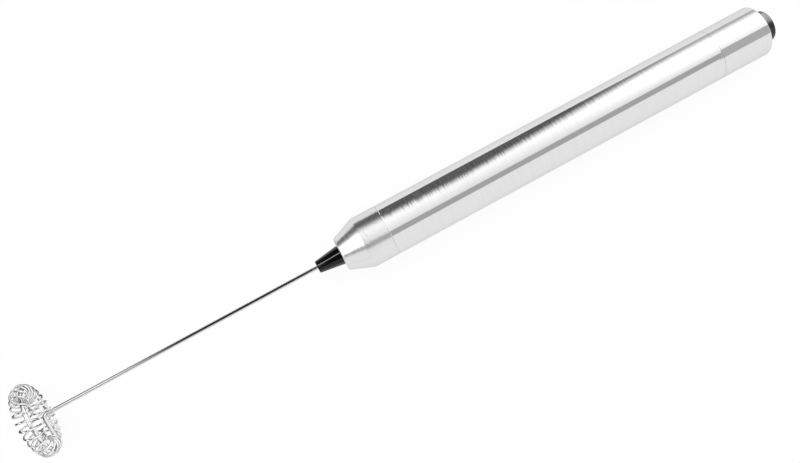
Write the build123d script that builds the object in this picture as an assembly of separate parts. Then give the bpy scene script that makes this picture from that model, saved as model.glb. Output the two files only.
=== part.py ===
"""A slim milk frother: a battery handle with a small motor that spins a ring-coil whisk.

Millimetres. X runs along the handle, towards the push button, and Z is up with the frother lying down.
The origin is on the handle's axis, halfway along the body tube.
"""
import os
from math import asin, cos, degrees, dist, isclose, pi, radians, sin, sqrt, tan

from build123d import *

# Fits: radial play of pieces that sit together, of the coupling in the nose and of sliding pieces
SEAT_PLAY = 0.02
SLIDE_PLAY = 0.1
THREAD_PLAY = 0.08
TOUCH_GAP = 0.05

# Handle: the shells that show
HANDLE_R = 7.0
TUBE_LENGTH = 97.7
TUBE_WALL = 0.8
SEAM_CHAMFER = 0.12
TUBE_BORE_R = HANDLE_R - TUBE_WALL
TUBE_FRONT = -TUBE_LENGTH / 2
TUBE_REAR = TUBE_LENGTH / 2

NOSE_STRAIGHT = 6.9
NOSE_TAPER = 6.4
NOSE_TIP_R = 4.45
NOSE_TIP_ROUND = 0.7
NOSE_SPIGOT = 6.0
NOSE_BORE_R = 5.55
NOSE_BORE_DEPTH = 5.1
NOSE_CLEAR_R = 3.3
NOSE_LIP = 1.1
NOSE_HOLE_R = 2.95
NOSE_SHOULDER = TUBE_FRONT - NOSE_STRAIGHT
NOSE_FRONT = NOSE_SHOULDER - NOSE_TAPER
NOSE_SEAT = TUBE_FRONT - NOSE_BORE_DEPTH

CAP_LENGTH = 14.5
CAP_SPIGOT = 6.0
CAP_END_WALL = 1.2
CAP_END_ROUND = 0.4
CAP_BORE_R = 5.5
CAP_REAR = TUBE_REAR + CAP_LENGTH
CAP_INNER_END = CAP_REAR - CAP_END_WALL
CAP_SPIGOT_FRONT = TUBE_REAR - CAP_SPIGOT

# Push button: travel and protrusion past the cap
BUTTON_R = 4.3
BUTTON_TRAVEL = 1.5
BUTTON_PROUD = 3.6
BUTTON_CROWN = 0.3
BUTTON_EDGE_ROUND = 0.4
BUTTON_FLANGE_R = 4.65
BUTTON_FLANGE = 1.1
BUTTON_HOLLOW_R = 3.4
BUTTON_TOP = 1.8
BUTTON_STEM_R = 1.2
BUTTON_HOLE_R = BUTTON_R + SLIDE_PLAY
BUTTON_END = CAP_REAR + BUTTON_PROUD
BUTTON_ROOF = BUTTON_END - BUTTON_TOP
BUTTON_FRONT = CAP_INNER_END - SLIDE_PLAY - BUTTON_FLANGE

# Small motor: a round can with two flats
MOTOR_R = 5.0
MOTOR_FLAT = 4.0
CAN_WALL = 0.5
CAN_LENGTH = 13.2
END_CAP_PLATE = 2.0
END_CAP_RIM = 1.2
END_CAP_RIM_WALL = 0.6
BOSS_R = 1.75
BOSS_LENGTH = 0.8
BEARING_R = 1.25
BEARING_LENGTH = 1.6
BEARING_INSET = 0.2
BEARING_PLAY = 0.02
HOLDER_WALL = 1.0
HOLDER_HOLE_R = 2.0
MOTOR_FRONT = NOSE_SEAT + HOLDER_WALL
CAN_REAR = MOTOR_FRONT + CAN_LENGTH
MOTOR_REAR = CAN_REAR + END_CAP_PLATE
HOLDER_REAR = CAN_REAR - BEARING_INSET

MAGNET_LENGTH = 9.0
MAGNET_INSET = 2.0
MAGNET_IN_R = 3.35
MAGNET_HALF_ANGLE = 50.0
TERMINAL_Z = 2.6
TERMINAL_WIDTH = 1.0
TERMINAL_THICK = 0.3
TERMINAL_LENGTH = 1.2
BRUSH_LENGTH = 1.4
BRUSH_WIDTH = 1.8
BRUSH_THICK = 0.2

SHAFT_R = 0.75
POLES = 3
CORE_R = 3.0
CORE_LENGTH = 7.4
CORE_INSET = 2.8
CORE_HUB_R = 1.2
CORE_NECK = 1.0
SHOE_IN_R = 2.2
SHOE_HALF_ANGLE = 48.0
WINDING_SIDE = 0.55
WINDING_END = 0.8
WINDING_IN_R = 1.3
WINDING_OUT_R = 1.88
COMMUTATOR_R = 1.3
COMMUTATOR_LENGTH = 1.5
COMMUTATOR_SLOT = 0.2
COMMUTATOR_SLOT_DEPTH = 0.3
WASHER_R = 1.15
FRONT_WASHER = 0.7
REAR_WASHER = 0.3
CORE_FRONT = MOTOR_FRONT + CORE_INSET
CORE_REAR = CORE_FRONT + CORE_LENGTH
COMMUTATOR_REAR = CAN_REAR - BEARING_INSET
SHAFT_REAR = MOTOR_REAR - BEARING_INSET

# Cells and their contacts
CELL_R = 5.25
CELL_LENGTH = 44.5
CELL_NUB_R = 1.9
CELL_NUB = 1.0
CELL_EDGE = 0.3
CARRIER_R = 6.15
CARRIER_POCKET_R = 5.05
CARRIER_POCKET = 2.4
CARRIER_WALL = 1.5
CARRIER_NOTCH = 3.0
CARRIER_NOTCH_TOP = 2.1
CARRIER_SLOT_WIDTH = 1.6
CARRIER_SLOT_LOW = 2.3
CARRIER_SLOT_HIGH = 3.2
CONTACT_R = 3.5
CONTACT_THICK = 0.25
CONTACT_TAB = 1.2
CONTACT_TAB_REACH = 0.9
SLEEVE_R = 6.15
SLEEVE_BORE_R = 5.4
SLEEVE_SHORT = 0.8
STRIP_WIDTH = 2.5
STRIP_THICK = 0.3
STRIP_OUT = 6.04
STRIP_GROOVE = 2.9
STRIP_FOOT_INSET = 0.6
CARRIER_SEAT = HOLDER_REAR
CARRIER_FACE = CARRIER_SEAT + CARRIER_POCKET + CARRIER_WALL
CELLS_FRONT = CARRIER_FACE + CONTACT_THICK + TOUCH_GAP
CELLS_REAR = CELLS_FRONT + 2 * CELL_LENGTH
SLEEVE_REAR = CAP_SPIGOT_FRONT - SLEEVE_SHORT

# Switch in the cap
HOUSING_BORE_R = 4.75
HOUSING_SKIRT_R = 4.9
HOUSING_WALL = 0.8
HOUSING_SKIRT = 1.0
HOUSING_ROOM = 4.4
RIVET_R = 0.75
RIVET_HEAD_R = 1.5
RIVET_HEAD = 0.15
SPRING_PLATE_R = 4.6
SPRING_PLATE = 0.25
GROUND_RING_IN_R = 2.0
GROUND_RING_R = 4.6
GROUND_RING_THICK = 0.2
GROUND_TAB_WIDTH = 2.0
RETAINER_IN_R = 4.6
RETAINER_THICK = 0.7
RETAINER_GAP = 4.0
SLEEVE_TIP = 0.4
SLEEVE_WALL = 0.33
SLEEVE_FLANGE_R = 3.2
SLEEVE_FLANGE = 0.25
HOUSING_WALL_REAR = CAP_INNER_END - HOUSING_ROOM
HOUSING_WALL_FRONT = HOUSING_WALL_REAR - HOUSING_WALL
HOUSING_FRONT = HOUSING_WALL_FRONT - HOUSING_SKIRT
CONTACT_TIP = HOUSING_WALL_REAR + RIVET_HEAD + BUTTON_TRAVEL + TOUCH_GAP

# Springs: wire radius, coil radius and turns
BATTERY_SPRING_WIRE_R = 0.25
BATTERY_SPRING_BASE_R = 4.1
BATTERY_SPRING_TIP_R = 1.6
BATTERY_SPRING_TURNS = 3.5
BUTTON_SPRING_WIRE_R = 0.2
BUTTON_SPRING_R = 2.5
BUTTON_SPRING_TURNS = 5.5

# Coupling: the black cone that joins the whisk to the motor shaft
CONE_LENGTH = 6.8
CONE_BASE_R = 2.65
CONE_TIP_R = 1.65
CONE_TIP_ROUND = 0.3
CONE_COLLAR = 2.2
HUB_R = 2.3
HUB_GAP = 1.0
SHAFT_GRIP = 4.6
WIRE_GRIP = 7.4
CONE_TIP = NOSE_FRONT - CONE_LENGTH
HUB_REAR = NOSE_SEAT - HUB_GAP
SHAFT_FRONT = HUB_REAR - SHAFT_GRIP

# Whisk: one wire bent into shaft, arm and hoop, with a fine coil wound round the hoop. The coil bears on the
# hoop's outer side, and the hoop leans towards the handle in it
WIRE_R = 0.5
RING_REACH = 79.45
RING_TILT = 7.0
RING_OFFSET = 0.25
ARM_SLANT = 2.0
ARM_DIP = 36.0
SHAFT_BEND_R = 1.6
HOOP_BEND_R = 1.0
HOOP_LEAN = 45.0
HOOP_END_ANGLE = 352.0
COIL_RING_R = 7.6
COIL_R = 2.1
COIL_WIRE_R = 0.22
COIL_TURNS = 25
COIL_START_ANGLE = 4.3
COIL_END_ANGLE = 353.9
RING_X = CONE_TIP - RING_REACH
HOOP_REACH = COIL_R - COIL_WIRE_R - WIRE_R - TOUCH_GAP
HOOP_R = COIL_RING_R + HOOP_REACH * cos(radians(HOOP_LEAN))
HOOP_SHIFT = HOOP_REACH * sin(radians(HOOP_LEAN))

# Pairs of arcs, each pair a half turn, follow a coil, and its least gap is measured on points along them.
# The thin wire of a coil has flat sides, which keeps its facets few
ARC_STEP = 0.5
GAP_SAMPLES = 12
WIRE_SIDES = 6
DIRECTION_STEP = 1e-4
TINY = 1e-6


def turned(*corners):
    """A solid turned about the handle's axis from (x, radius) corners."""
    return revolve(make_face(Polyline(*corners, close=True)), Axis.X)


def ring(front, rear, outer_r, inner_r=0.0):
    """A plain tube or disc on the handle's axis."""
    return turned((front, inner_r), (rear, inner_r), (rear, outer_r), (front, outer_r))


def flatted(front, rear, radius, flat):
    """A round bar on the handle's axis with flats above and below."""
    section = Circle(radius) & Rectangle(2 * radius, 2 * flat)
    return extrude(Plane.YZ.offset(front) * section, rear - front)


def block(x_span, y_span, z_span):
    """A box between three pairs of limits."""
    size = [high - low for low, high in (x_span, y_span, z_span)]
    centre = [(low + high) / 2 for low, high in (x_span, y_span, z_span)]
    return Pos(*centre) * Box(*size)


def sector(front, rear, outer_r, inner_r, half_angle):
    """A piece of a tube, centred on +Y."""
    reach = 2 * outer_r
    spread = reach * tan(radians(half_angle))
    wedge = make_face(Polyline((0, 0), (reach, -spread), (reach, spread), close=True))
    return ring(front, rear, outer_r, inner_r) & extrude(Plane.YZ.offset(front) * wedge, rear - front)


def rim(solid, x, radius):
    """The circular edges of a turned solid at one station and radius."""
    circles = solid.edges().filter_by(GeomType.CIRCLE)
    return [
        edge
        for edge in circles
        if isclose(edge.radius, radius, abs_tol=TINY) and isclose(edge.arc_center.X, x, abs_tol=TINY)
    ]


def around(solid, count):
    """Copies of a solid, evenly turned about the handle's axis."""
    return [Rot(X=360 * number / count) * solid for number in range(count)]


def biarc(start, start_dir, end, end_dir):
    """Two arcs that leave start along start_dir and arrive at end along end_dir."""
    chord = end - start
    both = start_dir + end_dir
    bend = 2 * (1 - start_dir.dot(end_dir))
    along = chord.dot(both)
    reach = (sqrt(along**2 + bend * chord.dot(chord)) - along) / bend
    middle_dir = (chord - both * reach).normalized()
    middle = start + start_dir * reach + middle_dir * reach
    return [
        Edge.make_tangent_arc(start, start_dir, middle),
        Edge.make_tangent_arc(middle, middle_dir, end),
    ]


def coil(name, place, turns, wire_r):
    """One unbroken wire that follows place(turn), with its least gap to itself printed."""

    def heading(turn):
        return (place(turn + DIRECTION_STEP) - place(turn - DIRECTION_STEP)).normalized()

    edges = []
    for number in range(round(turns / ARC_STEP)):
        start = number * ARC_STEP
        end = start + ARC_STEP
        edges += biarc(place(start), heading(start), place(end), heading(end))
    points = [tuple(edge.position_at(step / GAP_SAMPLES)) for edge in edges for step in range(GAP_SAMPLES)]
    apart = round(GAP_SAMPLES / ARC_STEP)
    gap = min(dist(here, there) for i, here in enumerate(points) for there in points[i + apart :]) - 2 * wire_r
    print(name, "least gap to itself", round(gap, 3), "mm")
    section = Plane(origin=place(0), z_dir=heading(0)) * RegularPolygon(wire_r, WIRE_SIDES)
    return sweep(section, path=Wire(edges), clean=False)


def body_tube():
    edge_r = HANDLE_R - SEAM_CHAMFER
    return turned(
        (TUBE_FRONT, TUBE_BORE_R),
        (TUBE_REAR, TUBE_BORE_R),
        (TUBE_REAR, edge_r),
        (TUBE_REAR - SEAM_CHAMFER, HANDLE_R),
        (TUBE_FRONT + SEAM_CHAMFER, HANDLE_R),
        (TUBE_FRONT, edge_r),
    )


def nose_cone():
    spigot_r = TUBE_BORE_R - SEAT_PLAY
    spigot_rear = TUBE_FRONT + NOSE_SPIGOT
    lip_rear = NOSE_FRONT + NOSE_LIP
    solid = turned(
        (NOSE_FRONT, NOSE_HOLE_R),
        (lip_rear, NOSE_HOLE_R),
        (lip_rear, NOSE_CLEAR_R),
        (NOSE_SEAT, NOSE_CLEAR_R),
        (NOSE_SEAT, NOSE_BORE_R),
        (spigot_rear, NOSE_BORE_R),
        (spigot_rear, spigot_r),
        (TUBE_FRONT, spigot_r),
        (TUBE_FRONT, HANDLE_R - SEAM_CHAMFER),
        (TUBE_FRONT - SEAM_CHAMFER, HANDLE_R),
        (NOSE_SHOULDER, HANDLE_R),
        (NOSE_FRONT, NOSE_TIP_R),
    )
    return fillet(rim(solid, NOSE_FRONT, NOSE_TIP_R), NOSE_TIP_ROUND)


def motor_holder():
    outside = ring(NOSE_SEAT, HOLDER_REAR, NOSE_BORE_R - SEAT_PLAY, HOLDER_HOLE_R)
    return outside - flatted(MOTOR_FRONT, HOLDER_REAR, MOTOR_R + SEAT_PLAY, MOTOR_FLAT + SEAT_PLAY)


def motor_can():
    shell = flatted(MOTOR_FRONT, CAN_REAR, MOTOR_R, MOTOR_FLAT)
    shell -= flatted(MOTOR_FRONT + CAN_WALL, CAN_REAR, MOTOR_R - CAN_WALL, MOTOR_FLAT - CAN_WALL)
    boss_front = MOTOR_FRONT - BOSS_LENGTH
    shell += ring(boss_front, MOTOR_FRONT, BOSS_R)
    return shell - ring(boss_front, MOTOR_FRONT + CAN_WALL, BEARING_R)


def motor_magnets():
    front = MOTOR_FRONT + MAGNET_INSET
    outer_r = MOTOR_R - CAN_WALL - SEAT_PLAY
    magnet = sector(front, front + MAGNET_LENGTH, outer_r, MAGNET_IN_R, MAGNET_HALF_ANGLE)
    return Compound(around(magnet, 2))


def motor_end_cap():
    plate = flatted(CAN_REAR, MOTOR_REAR, MOTOR_R - SEAT_PLAY, MOTOR_FLAT - SEAT_PLAY)
    inner = CAN_WALL + SEAT_PLAY
    plug = flatted(CAN_REAR - END_CAP_RIM, CAN_REAR, MOTOR_R - inner, MOTOR_FLAT - inner)
    inner += END_CAP_RIM_WALL
    plug -= flatted(CAN_REAR - END_CAP_RIM, CAN_REAR, MOTOR_R - inner, MOTOR_FLAT - inner)
    return plate + plug - ring(CAN_REAR, MOTOR_REAR, BEARING_R)


def sleeve_bearing(front):
    return ring(front, front + BEARING_LENGTH, BEARING_R - SEAT_PLAY, SHAFT_R + BEARING_PLAY)


def motor_front_bearing():
    return sleeve_bearing(MOTOR_FRONT - BOSS_LENGTH)


def motor_rear_bearing():
    return sleeve_bearing(CAN_REAR + BEARING_INSET)


def motor_brushes():
    inner = COMMUTATOR_R + TOUCH_GAP
    leaf = block(
        (CAN_REAR - BRUSH_LENGTH, CAN_REAR),
        (inner, inner + BRUSH_THICK),
        (-BRUSH_WIDTH / 2, BRUSH_WIDTH / 2),
    )
    return Compound(around(leaf, 2))


def motor_terminals():
    tab = block(
        (MOTOR_REAR, MOTOR_REAR + TERMINAL_LENGTH),
        (-TERMINAL_WIDTH / 2, TERMINAL_WIDTH / 2),
        (TERMINAL_Z - TERMINAL_THICK / 2, TERMINAL_Z + TERMINAL_THICK / 2),
    )
    return Compound(around(tab, 2))


def contact_carrier():
    pocket_end = CARRIER_SEAT + CARRIER_POCKET
    cup = ring(CARRIER_SEAT, CARRIER_FACE, CARRIER_R)
    cup -= ring(CARRIER_SEAT, pocket_end, CARRIER_POCKET_R)
    wall = (pocket_end, CARRIER_FACE)
    notch_half = CARRIER_NOTCH / 2
    slot_half = CARRIER_SLOT_WIDTH / 2
    cup -= block(wall, (-notch_half, notch_half), (-HANDLE_R, -CARRIER_NOTCH_TOP))
    return cup - block(wall, (-slot_half, slot_half), (CARRIER_SLOT_LOW, CARRIER_SLOT_HIGH))


def front_contact():
    rear = CARRIER_FACE + CONTACT_THICK
    tab_low = TERMINAL_Z + TERMINAL_THICK / 2 + TOUCH_GAP
    tab = block(
        (CARRIER_FACE - CONTACT_TAB_REACH, rear),
        (-CONTACT_TAB / 2, CONTACT_TAB / 2),
        (tab_low, tab_low + CONTACT_THICK),
    )
    return ring(CARRIER_FACE, rear, CONTACT_R) + tab


def cell(front):
    shoulder = front + CELL_NUB
    rear = front + CELL_LENGTH
    return turned(
        (front, 0),
        (rear, 0),
        (rear, CELL_R - CELL_EDGE),
        (rear - CELL_EDGE, CELL_R),
        (shoulder + CELL_EDGE, CELL_R),
        (shoulder, CELL_R - CELL_EDGE),
        (shoulder, CELL_NUB_R),
        (front, CELL_NUB_R),
    )


def battery_front():
    return cell(CELLS_FRONT)


def battery_rear():
    return cell(CELLS_FRONT + CELL_LENGTH)


def battery_sleeve():
    half = STRIP_GROOVE / 2
    groove_top = -STRIP_OUT + STRIP_THICK + TOUCH_GAP
    groove = block((CELLS_FRONT, SLEEVE_REAR), (-half, half), (-HANDLE_R, groove_top))
    return ring(CELLS_FRONT, SLEEVE_REAR, SLEEVE_R, SLEEVE_BORE_R) - groove


def return_strip():
    half = STRIP_WIDTH / 2
    foot_front = CARRIER_FACE - STRIP_FOOT_INSET - STRIP_THICK
    foot_top = -TERMINAL_Z - TERMINAL_THICK / 2 - TOUCH_GAP
    rear = CAP_SPIGOT_FRONT - SLIDE_PLAY
    strip = block((foot_front, rear), (-half, half), (-STRIP_OUT, -STRIP_OUT + STRIP_THICK))
    return strip + block((foot_front, foot_front + STRIP_THICK), (-half, half), (-STRIP_OUT, foot_top))


def tail_cap():
    spigot_r = TUBE_BORE_R - THREAD_PLAY
    solid = turned(
        (CAP_SPIGOT_FRONT, CAP_BORE_R),
        (CAP_INNER_END, CAP_BORE_R),
        (CAP_INNER_END, BUTTON_HOLE_R),
        (CAP_REAR, BUTTON_HOLE_R),
        (CAP_REAR, HANDLE_R),
        (TUBE_REAR + SEAM_CHAMFER, HANDLE_R),
        (TUBE_REAR, HANDLE_R - SEAM_CHAMFER),
        (TUBE_REAR, spigot_r),
        (CAP_SPIGOT_FRONT, spigot_r),
    )
    return fillet(rim(solid, CAP_REAR, HANDLE_R), CAP_END_ROUND)


def switch_housing():
    outer_r = CAP_BORE_R - SEAT_PLAY
    solid = turned(
        (HOUSING_FRONT, HOUSING_SKIRT_R),
        (HOUSING_WALL_FRONT, HOUSING_SKIRT_R),
        (HOUSING_WALL_FRONT, RIVET_R + SEAT_PLAY),
        (HOUSING_WALL_REAR, RIVET_R + SEAT_PLAY),
        (HOUSING_WALL_REAR, HOUSING_BORE_R),
        (CAP_INNER_END, HOUSING_BORE_R),
        (CAP_INNER_END, outer_r),
        (HOUSING_FRONT, outer_r),
    )
    half = GROUND_TAB_WIDTH / 2 + SLIDE_PLAY
    tab_room = (HOUSING_WALL_REAR, HOUSING_WALL_REAR + GROUND_RING_THICK + SLIDE_PLAY)
    return solid - block(tab_room, (-half, half), (0, HANDLE_R))


def retaining_ring():
    front = HOUSING_FRONT - RETAINER_THICK
    half = RETAINER_GAP / 2
    clip = ring(front, HOUSING_FRONT, CAP_BORE_R - SEAT_PLAY, RETAINER_IN_R)
    return clip - block((front, HOUSING_FRONT), (-half, half), (0, HANDLE_R))


def switch_contact():
    plate_front = HOUSING_WALL_FRONT - SPRING_PLATE
    stem = ring(plate_front, HOUSING_WALL_REAR + RIVET_HEAD, RIVET_R)
    plate = ring(plate_front, HOUSING_WALL_FRONT, SPRING_PLATE_R)
    return stem + plate + ring(HOUSING_WALL_REAR, HOUSING_WALL_REAR + RIVET_HEAD, RIVET_HEAD_R)


def switch_ground_ring():
    half = GROUND_TAB_WIDTH / 2
    span = (HOUSING_WALL_REAR, HOUSING_WALL_REAR + GROUND_RING_THICK)
    washer = ring(*span, GROUND_RING_R, GROUND_RING_IN_R)
    middle_r = (GROUND_RING_R + GROUND_RING_IN_R) / 2
    reach = ring(*span, CAP_BORE_R - SEAT_PLAY, middle_r)
    return washer + (reach & block(span, (-half, half), (0, HANDLE_R)))


def battery_spring():
    base = HOUSING_WALL_FRONT - SPRING_PLATE - BATTERY_SPRING_WIRE_R - SEAT_PLAY
    tip = CELLS_REAR + TOUCH_GAP + BATTERY_SPRING_WIRE_R

    def place(turn):
        share = turn / BATTERY_SPRING_TURNS
        radius = BATTERY_SPRING_BASE_R + (BATTERY_SPRING_TIP_R - BATTERY_SPRING_BASE_R) * share
        angle = 2 * pi * turn
        return Vector(base + (tip - base) * share, radius * cos(angle), radius * sin(angle))

    return coil("battery_spring", place, BATTERY_SPRING_TURNS, BATTERY_SPRING_WIRE_R)


def button_spring():
    room = BUTTON_SPRING_WIRE_R + TOUCH_GAP
    front = HOUSING_WALL_REAR + GROUND_RING_THICK + room
    rear = BUTTON_ROOF - SLEEVE_FLANGE - room

    def place(turn):
        angle = 2 * pi * turn
        x = front + (rear - front) * turn / BUTTON_SPRING_TURNS
        return Vector(x, BUTTON_SPRING_R * cos(angle), BUTTON_SPRING_R * sin(angle))

    return coil("button_spring", place, BUTTON_SPRING_TURNS, BUTTON_SPRING_WIRE_R)


def push_button():
    crown_edge = BUTTON_END - BUTTON_CROWN
    flange_rear = BUTTON_FRONT + BUTTON_FLANGE
    stem_front = CONTACT_TIP + SLEEVE_TIP
    ball_r = (BUTTON_R**2 + BUTTON_CROWN**2) / (2 * BUTTON_CROWN)
    outline = Polyline(
        (BUTTON_END, 0),
        (stem_front, 0),
        (stem_front, BUTTON_STEM_R),
        (BUTTON_ROOF, BUTTON_STEM_R),
        (BUTTON_ROOF, BUTTON_HOLLOW_R),
        (BUTTON_FRONT, BUTTON_HOLLOW_R),
        (BUTTON_FRONT, BUTTON_FLANGE_R),
        (flange_rear, BUTTON_FLANGE_R),
        (flange_rear, BUTTON_R),
        (crown_edge, BUTTON_R),
    )
    crown_middle = BUTTON_END - ball_r + sqrt(ball_r**2 - (BUTTON_R / 2) ** 2)
    crown = ThreePointArc((crown_edge, BUTTON_R), (crown_middle, BUTTON_R / 2), (BUTTON_END, 0))
    solid = revolve(make_face(outline + crown), Axis.X)
    return fillet(rim(solid, crown_edge, BUTTON_R), BUTTON_EDGE_ROUND)


def button_contact():
    inner_r = BUTTON_STEM_R + SEAT_PLAY
    outer_r = inner_r + SLEEVE_WALL
    solid = turned(
        (CONTACT_TIP, 0),
        (CONTACT_TIP + SLEEVE_TIP, 0),
        (CONTACT_TIP + SLEEVE_TIP, inner_r),
        (BUTTON_ROOF, inner_r),
        (BUTTON_ROOF, SLEEVE_FLANGE_R),
        (BUTTON_ROOF - SLEEVE_FLANGE, SLEEVE_FLANGE_R),
        (BUTTON_ROOF - SLEEVE_FLANGE, outer_r),
        (CONTACT_TIP, outer_r),
    )
    return fillet(rim(solid, CONTACT_TIP, outer_r), SLEEVE_WALL)


def motor_shaft():
    return ring(SHAFT_FRONT, SHAFT_REAR, SHAFT_R)


def armature_core():
    span = (CORE_FRONT, CORE_REAR)
    half = CORE_NECK / 2
    shoe = sector(*span, CORE_R, SHOE_IN_R, SHOE_HALF_ANGLE)
    neck = block(span, (0, SHOE_IN_R + half), (-half, half))
    core = ring(*span, CORE_HUB_R)
    for pole in around(shoe + neck, POLES):
        core += pole
    return core - ring(*span, SHAFT_R + SEAT_PLAY)


def armature_windings():
    half = CORE_NECK / 2 + SEAT_PLAY
    spread = half + WINDING_SIDE
    radial = (WINDING_IN_R, WINDING_OUT_R)
    loop = block((CORE_FRONT - WINDING_END, CORE_REAR + WINDING_END), radial, (-spread, spread))
    loop -= block((CORE_FRONT - SEAT_PLAY, CORE_REAR + SEAT_PLAY), radial, (-half, half))
    return Compound(around(loop, POLES))


def commutator():
    span = (COMMUTATOR_REAR - COMMUTATOR_LENGTH, COMMUTATOR_REAR)
    half = COMMUTATOR_SLOT / 2
    drum = ring(*span, COMMUTATOR_R, SHAFT_R + SEAT_PLAY)
    slot = block(span, (COMMUTATOR_R - COMMUTATOR_SLOT_DEPTH, COMMUTATOR_R), (-half, half))
    for cut in around(slot, POLES):
        drum -= cut
    return drum


def thrust_washers():
    inner_r = SHAFT_R + SEAT_PLAY
    front = MOTOR_FRONT - BOSS_LENGTH + BEARING_LENGTH + TOUCH_GAP
    rear = COMMUTATOR_REAR + SEAT_PLAY
    washers = [(front, front + FRONT_WASHER), (rear, rear + REAR_WASHER)]
    return Compound([ring(*span, WASHER_R, inner_r) for span in washers])


def shaft_coupling():
    collar_rear = NOSE_FRONT + CONE_COLLAR
    solid = turned(
        (CONE_TIP, WIRE_R + SEAT_PLAY),
        (CONE_TIP + WIRE_GRIP + SEAT_PLAY, WIRE_R + SEAT_PLAY),
        (CONE_TIP + WIRE_GRIP + SEAT_PLAY, 0),
        (SHAFT_FRONT - SEAT_PLAY, 0),
        (SHAFT_FRONT - SEAT_PLAY, SHAFT_R + SEAT_PLAY),
        (HUB_REAR, SHAFT_R + SEAT_PLAY),
        (HUB_REAR, HUB_R),
        (collar_rear, HUB_R),
        (collar_rear, CONE_BASE_R),
        (NOSE_FRONT, CONE_BASE_R),
        (CONE_TIP, CONE_TIP_R),
    )
    return fillet(rim(solid, CONE_TIP, CONE_TIP_R), CONE_TIP_ROUND)


def ring_frame():
    """The whisk ring's centre, and its directions along the arm, across it and square to the ring."""
    dip = radians(ARM_DIP)
    tilt = radians(RING_TILT)
    normal = Vector(cos(tilt), 0, -sin(tilt))
    arm = Vector(-sin(dip) * sin(tilt), -cos(dip), -sin(dip) * cos(tilt))
    return Vector(RING_X, 0, 0) + arm * RING_OFFSET, arm, normal.cross(arm), normal


def whisk_shaft():
    centre, arm, across, normal = ring_frame()
    hoop_centre = centre + normal * HOOP_SHIFT

    def on_hoop(angle):
        return hoop_centre + (arm * cos(radians(angle)) + across * sin(radians(angle))) * HOOP_R

    forward = Vector(-1, 0, 0)
    corner = Vector(RING_X + ARM_SLANT, 0, 0)
    bend_depth = HOOP_R - HOOP_BEND_R
    arm_end = hoop_centre + arm * sqrt(bend_depth**2 - HOOP_BEND_R**2)
    slant = (arm_end - corner).normalized()
    setback = SHAFT_BEND_R * tan(radians(forward.get_angle(slant) / 2))
    start = Vector(CONE_TIP + WIRE_GRIP, 0, 0)
    bend_start = corner - forward * setback
    bend_end = corner + slant * setback
    join_angle = degrees(asin(HOOP_BEND_R / bend_depth))
    join = on_hoop(join_angle)
    join_dir = across * cos(radians(join_angle)) - arm * sin(radians(join_angle))
    half_way = on_hoop((join_angle + HOOP_END_ANGLE) / 2)
    path = [
        Edge.make_line(start, bend_start),
        Edge.make_tangent_arc(bend_start, forward, bend_end),
        Edge.make_line(bend_end, arm_end),
        *biarc(arm_end, slant, join, join_dir),
        Edge.make_three_point_arc(join, on_hoop((3 * join_angle + HOOP_END_ANGLE) / 4), half_way),
        Edge.make_three_point_arc(
            half_way, on_hoop((join_angle + 3 * HOOP_END_ANGLE) / 4), on_hoop(HOOP_END_ANGLE)
        ),
    ]
    return sweep(Plane(origin=start, z_dir=forward) * Circle(WIRE_R), path=Wire(path))


def whisk_coil():
    centre, arm, across, normal = ring_frame()

    def place(turn):
        share = turn / COIL_TURNS
        along = radians(COIL_START_ANGLE + (COIL_END_ANGLE - COIL_START_ANGLE) * share)
        round_hoop = 2 * pi * turn
        outward = arm * cos(along) + across * sin(along)
        ring_r = COIL_RING_R + COIL_R * cos(round_hoop)
        return centre + outward * ring_r + normal * (COIL_R * sin(round_hoop))

    return coil("whisk_coil", place, COIL_TURNS, COIL_WIRE_R)


PIECES = [
    body_tube,
    nose_cone,
    motor_holder,
    motor_can,
    motor_magnets,
    motor_end_cap,
    motor_front_bearing,
    motor_rear_bearing,
    motor_brushes,
    motor_terminals,
    contact_carrier,
    front_contact,
    battery_front,
    battery_rear,
    battery_sleeve,
    return_strip,
    tail_cap,
    switch_housing,
    retaining_ring,
    switch_contact,
    switch_ground_ring,
    battery_spring,
    button_spring,
    push_button,
    button_contact,
    motor_shaft,
    armature_core,
    armature_windings,
    commutator,
    thrust_washers,
    shaft_coupling,
    whisk_shaft,
    whisk_coil,
]

os.makedirs("parts", exist_ok=True)
for piece in PIECES:
    export_step(piece(), f"parts/{piece.__name__}.step")
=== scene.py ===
from math import asin, atan2, cos, pi, radians, sin, sqrt, tan

import bmesh
import bpy
from bpy.props import FloatProperty, FloatVectorProperty, IntProperty, PointerProperty
from bpy.types import Operator, Panel, PropertyGroup
from mathutils import Matrix, Vector


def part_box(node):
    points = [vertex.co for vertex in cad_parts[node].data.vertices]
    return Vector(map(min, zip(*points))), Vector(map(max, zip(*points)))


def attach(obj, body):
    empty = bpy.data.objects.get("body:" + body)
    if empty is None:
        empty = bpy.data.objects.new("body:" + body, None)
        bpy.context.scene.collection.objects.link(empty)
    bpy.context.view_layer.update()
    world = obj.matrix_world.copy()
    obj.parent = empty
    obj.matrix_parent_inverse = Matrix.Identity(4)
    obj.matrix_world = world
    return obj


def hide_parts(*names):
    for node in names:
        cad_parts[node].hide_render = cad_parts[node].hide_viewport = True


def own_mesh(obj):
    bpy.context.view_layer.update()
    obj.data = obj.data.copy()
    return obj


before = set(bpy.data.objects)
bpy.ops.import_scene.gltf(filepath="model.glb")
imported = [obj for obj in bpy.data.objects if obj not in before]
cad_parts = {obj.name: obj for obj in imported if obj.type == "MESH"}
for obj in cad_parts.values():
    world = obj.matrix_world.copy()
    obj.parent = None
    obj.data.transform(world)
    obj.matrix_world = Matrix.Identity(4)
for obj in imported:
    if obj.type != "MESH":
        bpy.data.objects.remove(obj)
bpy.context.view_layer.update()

bl_info = {
    "name": "Milk frother",
    "version": (1, 0, 0),
    "blender": (4, 5, 0),
    "location": "View3D > Sidebar > Frother",
    "description": "Dresses the solid model of a slim battery milk frother",
    "category": "Object",
}

MM = 0.001

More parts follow.
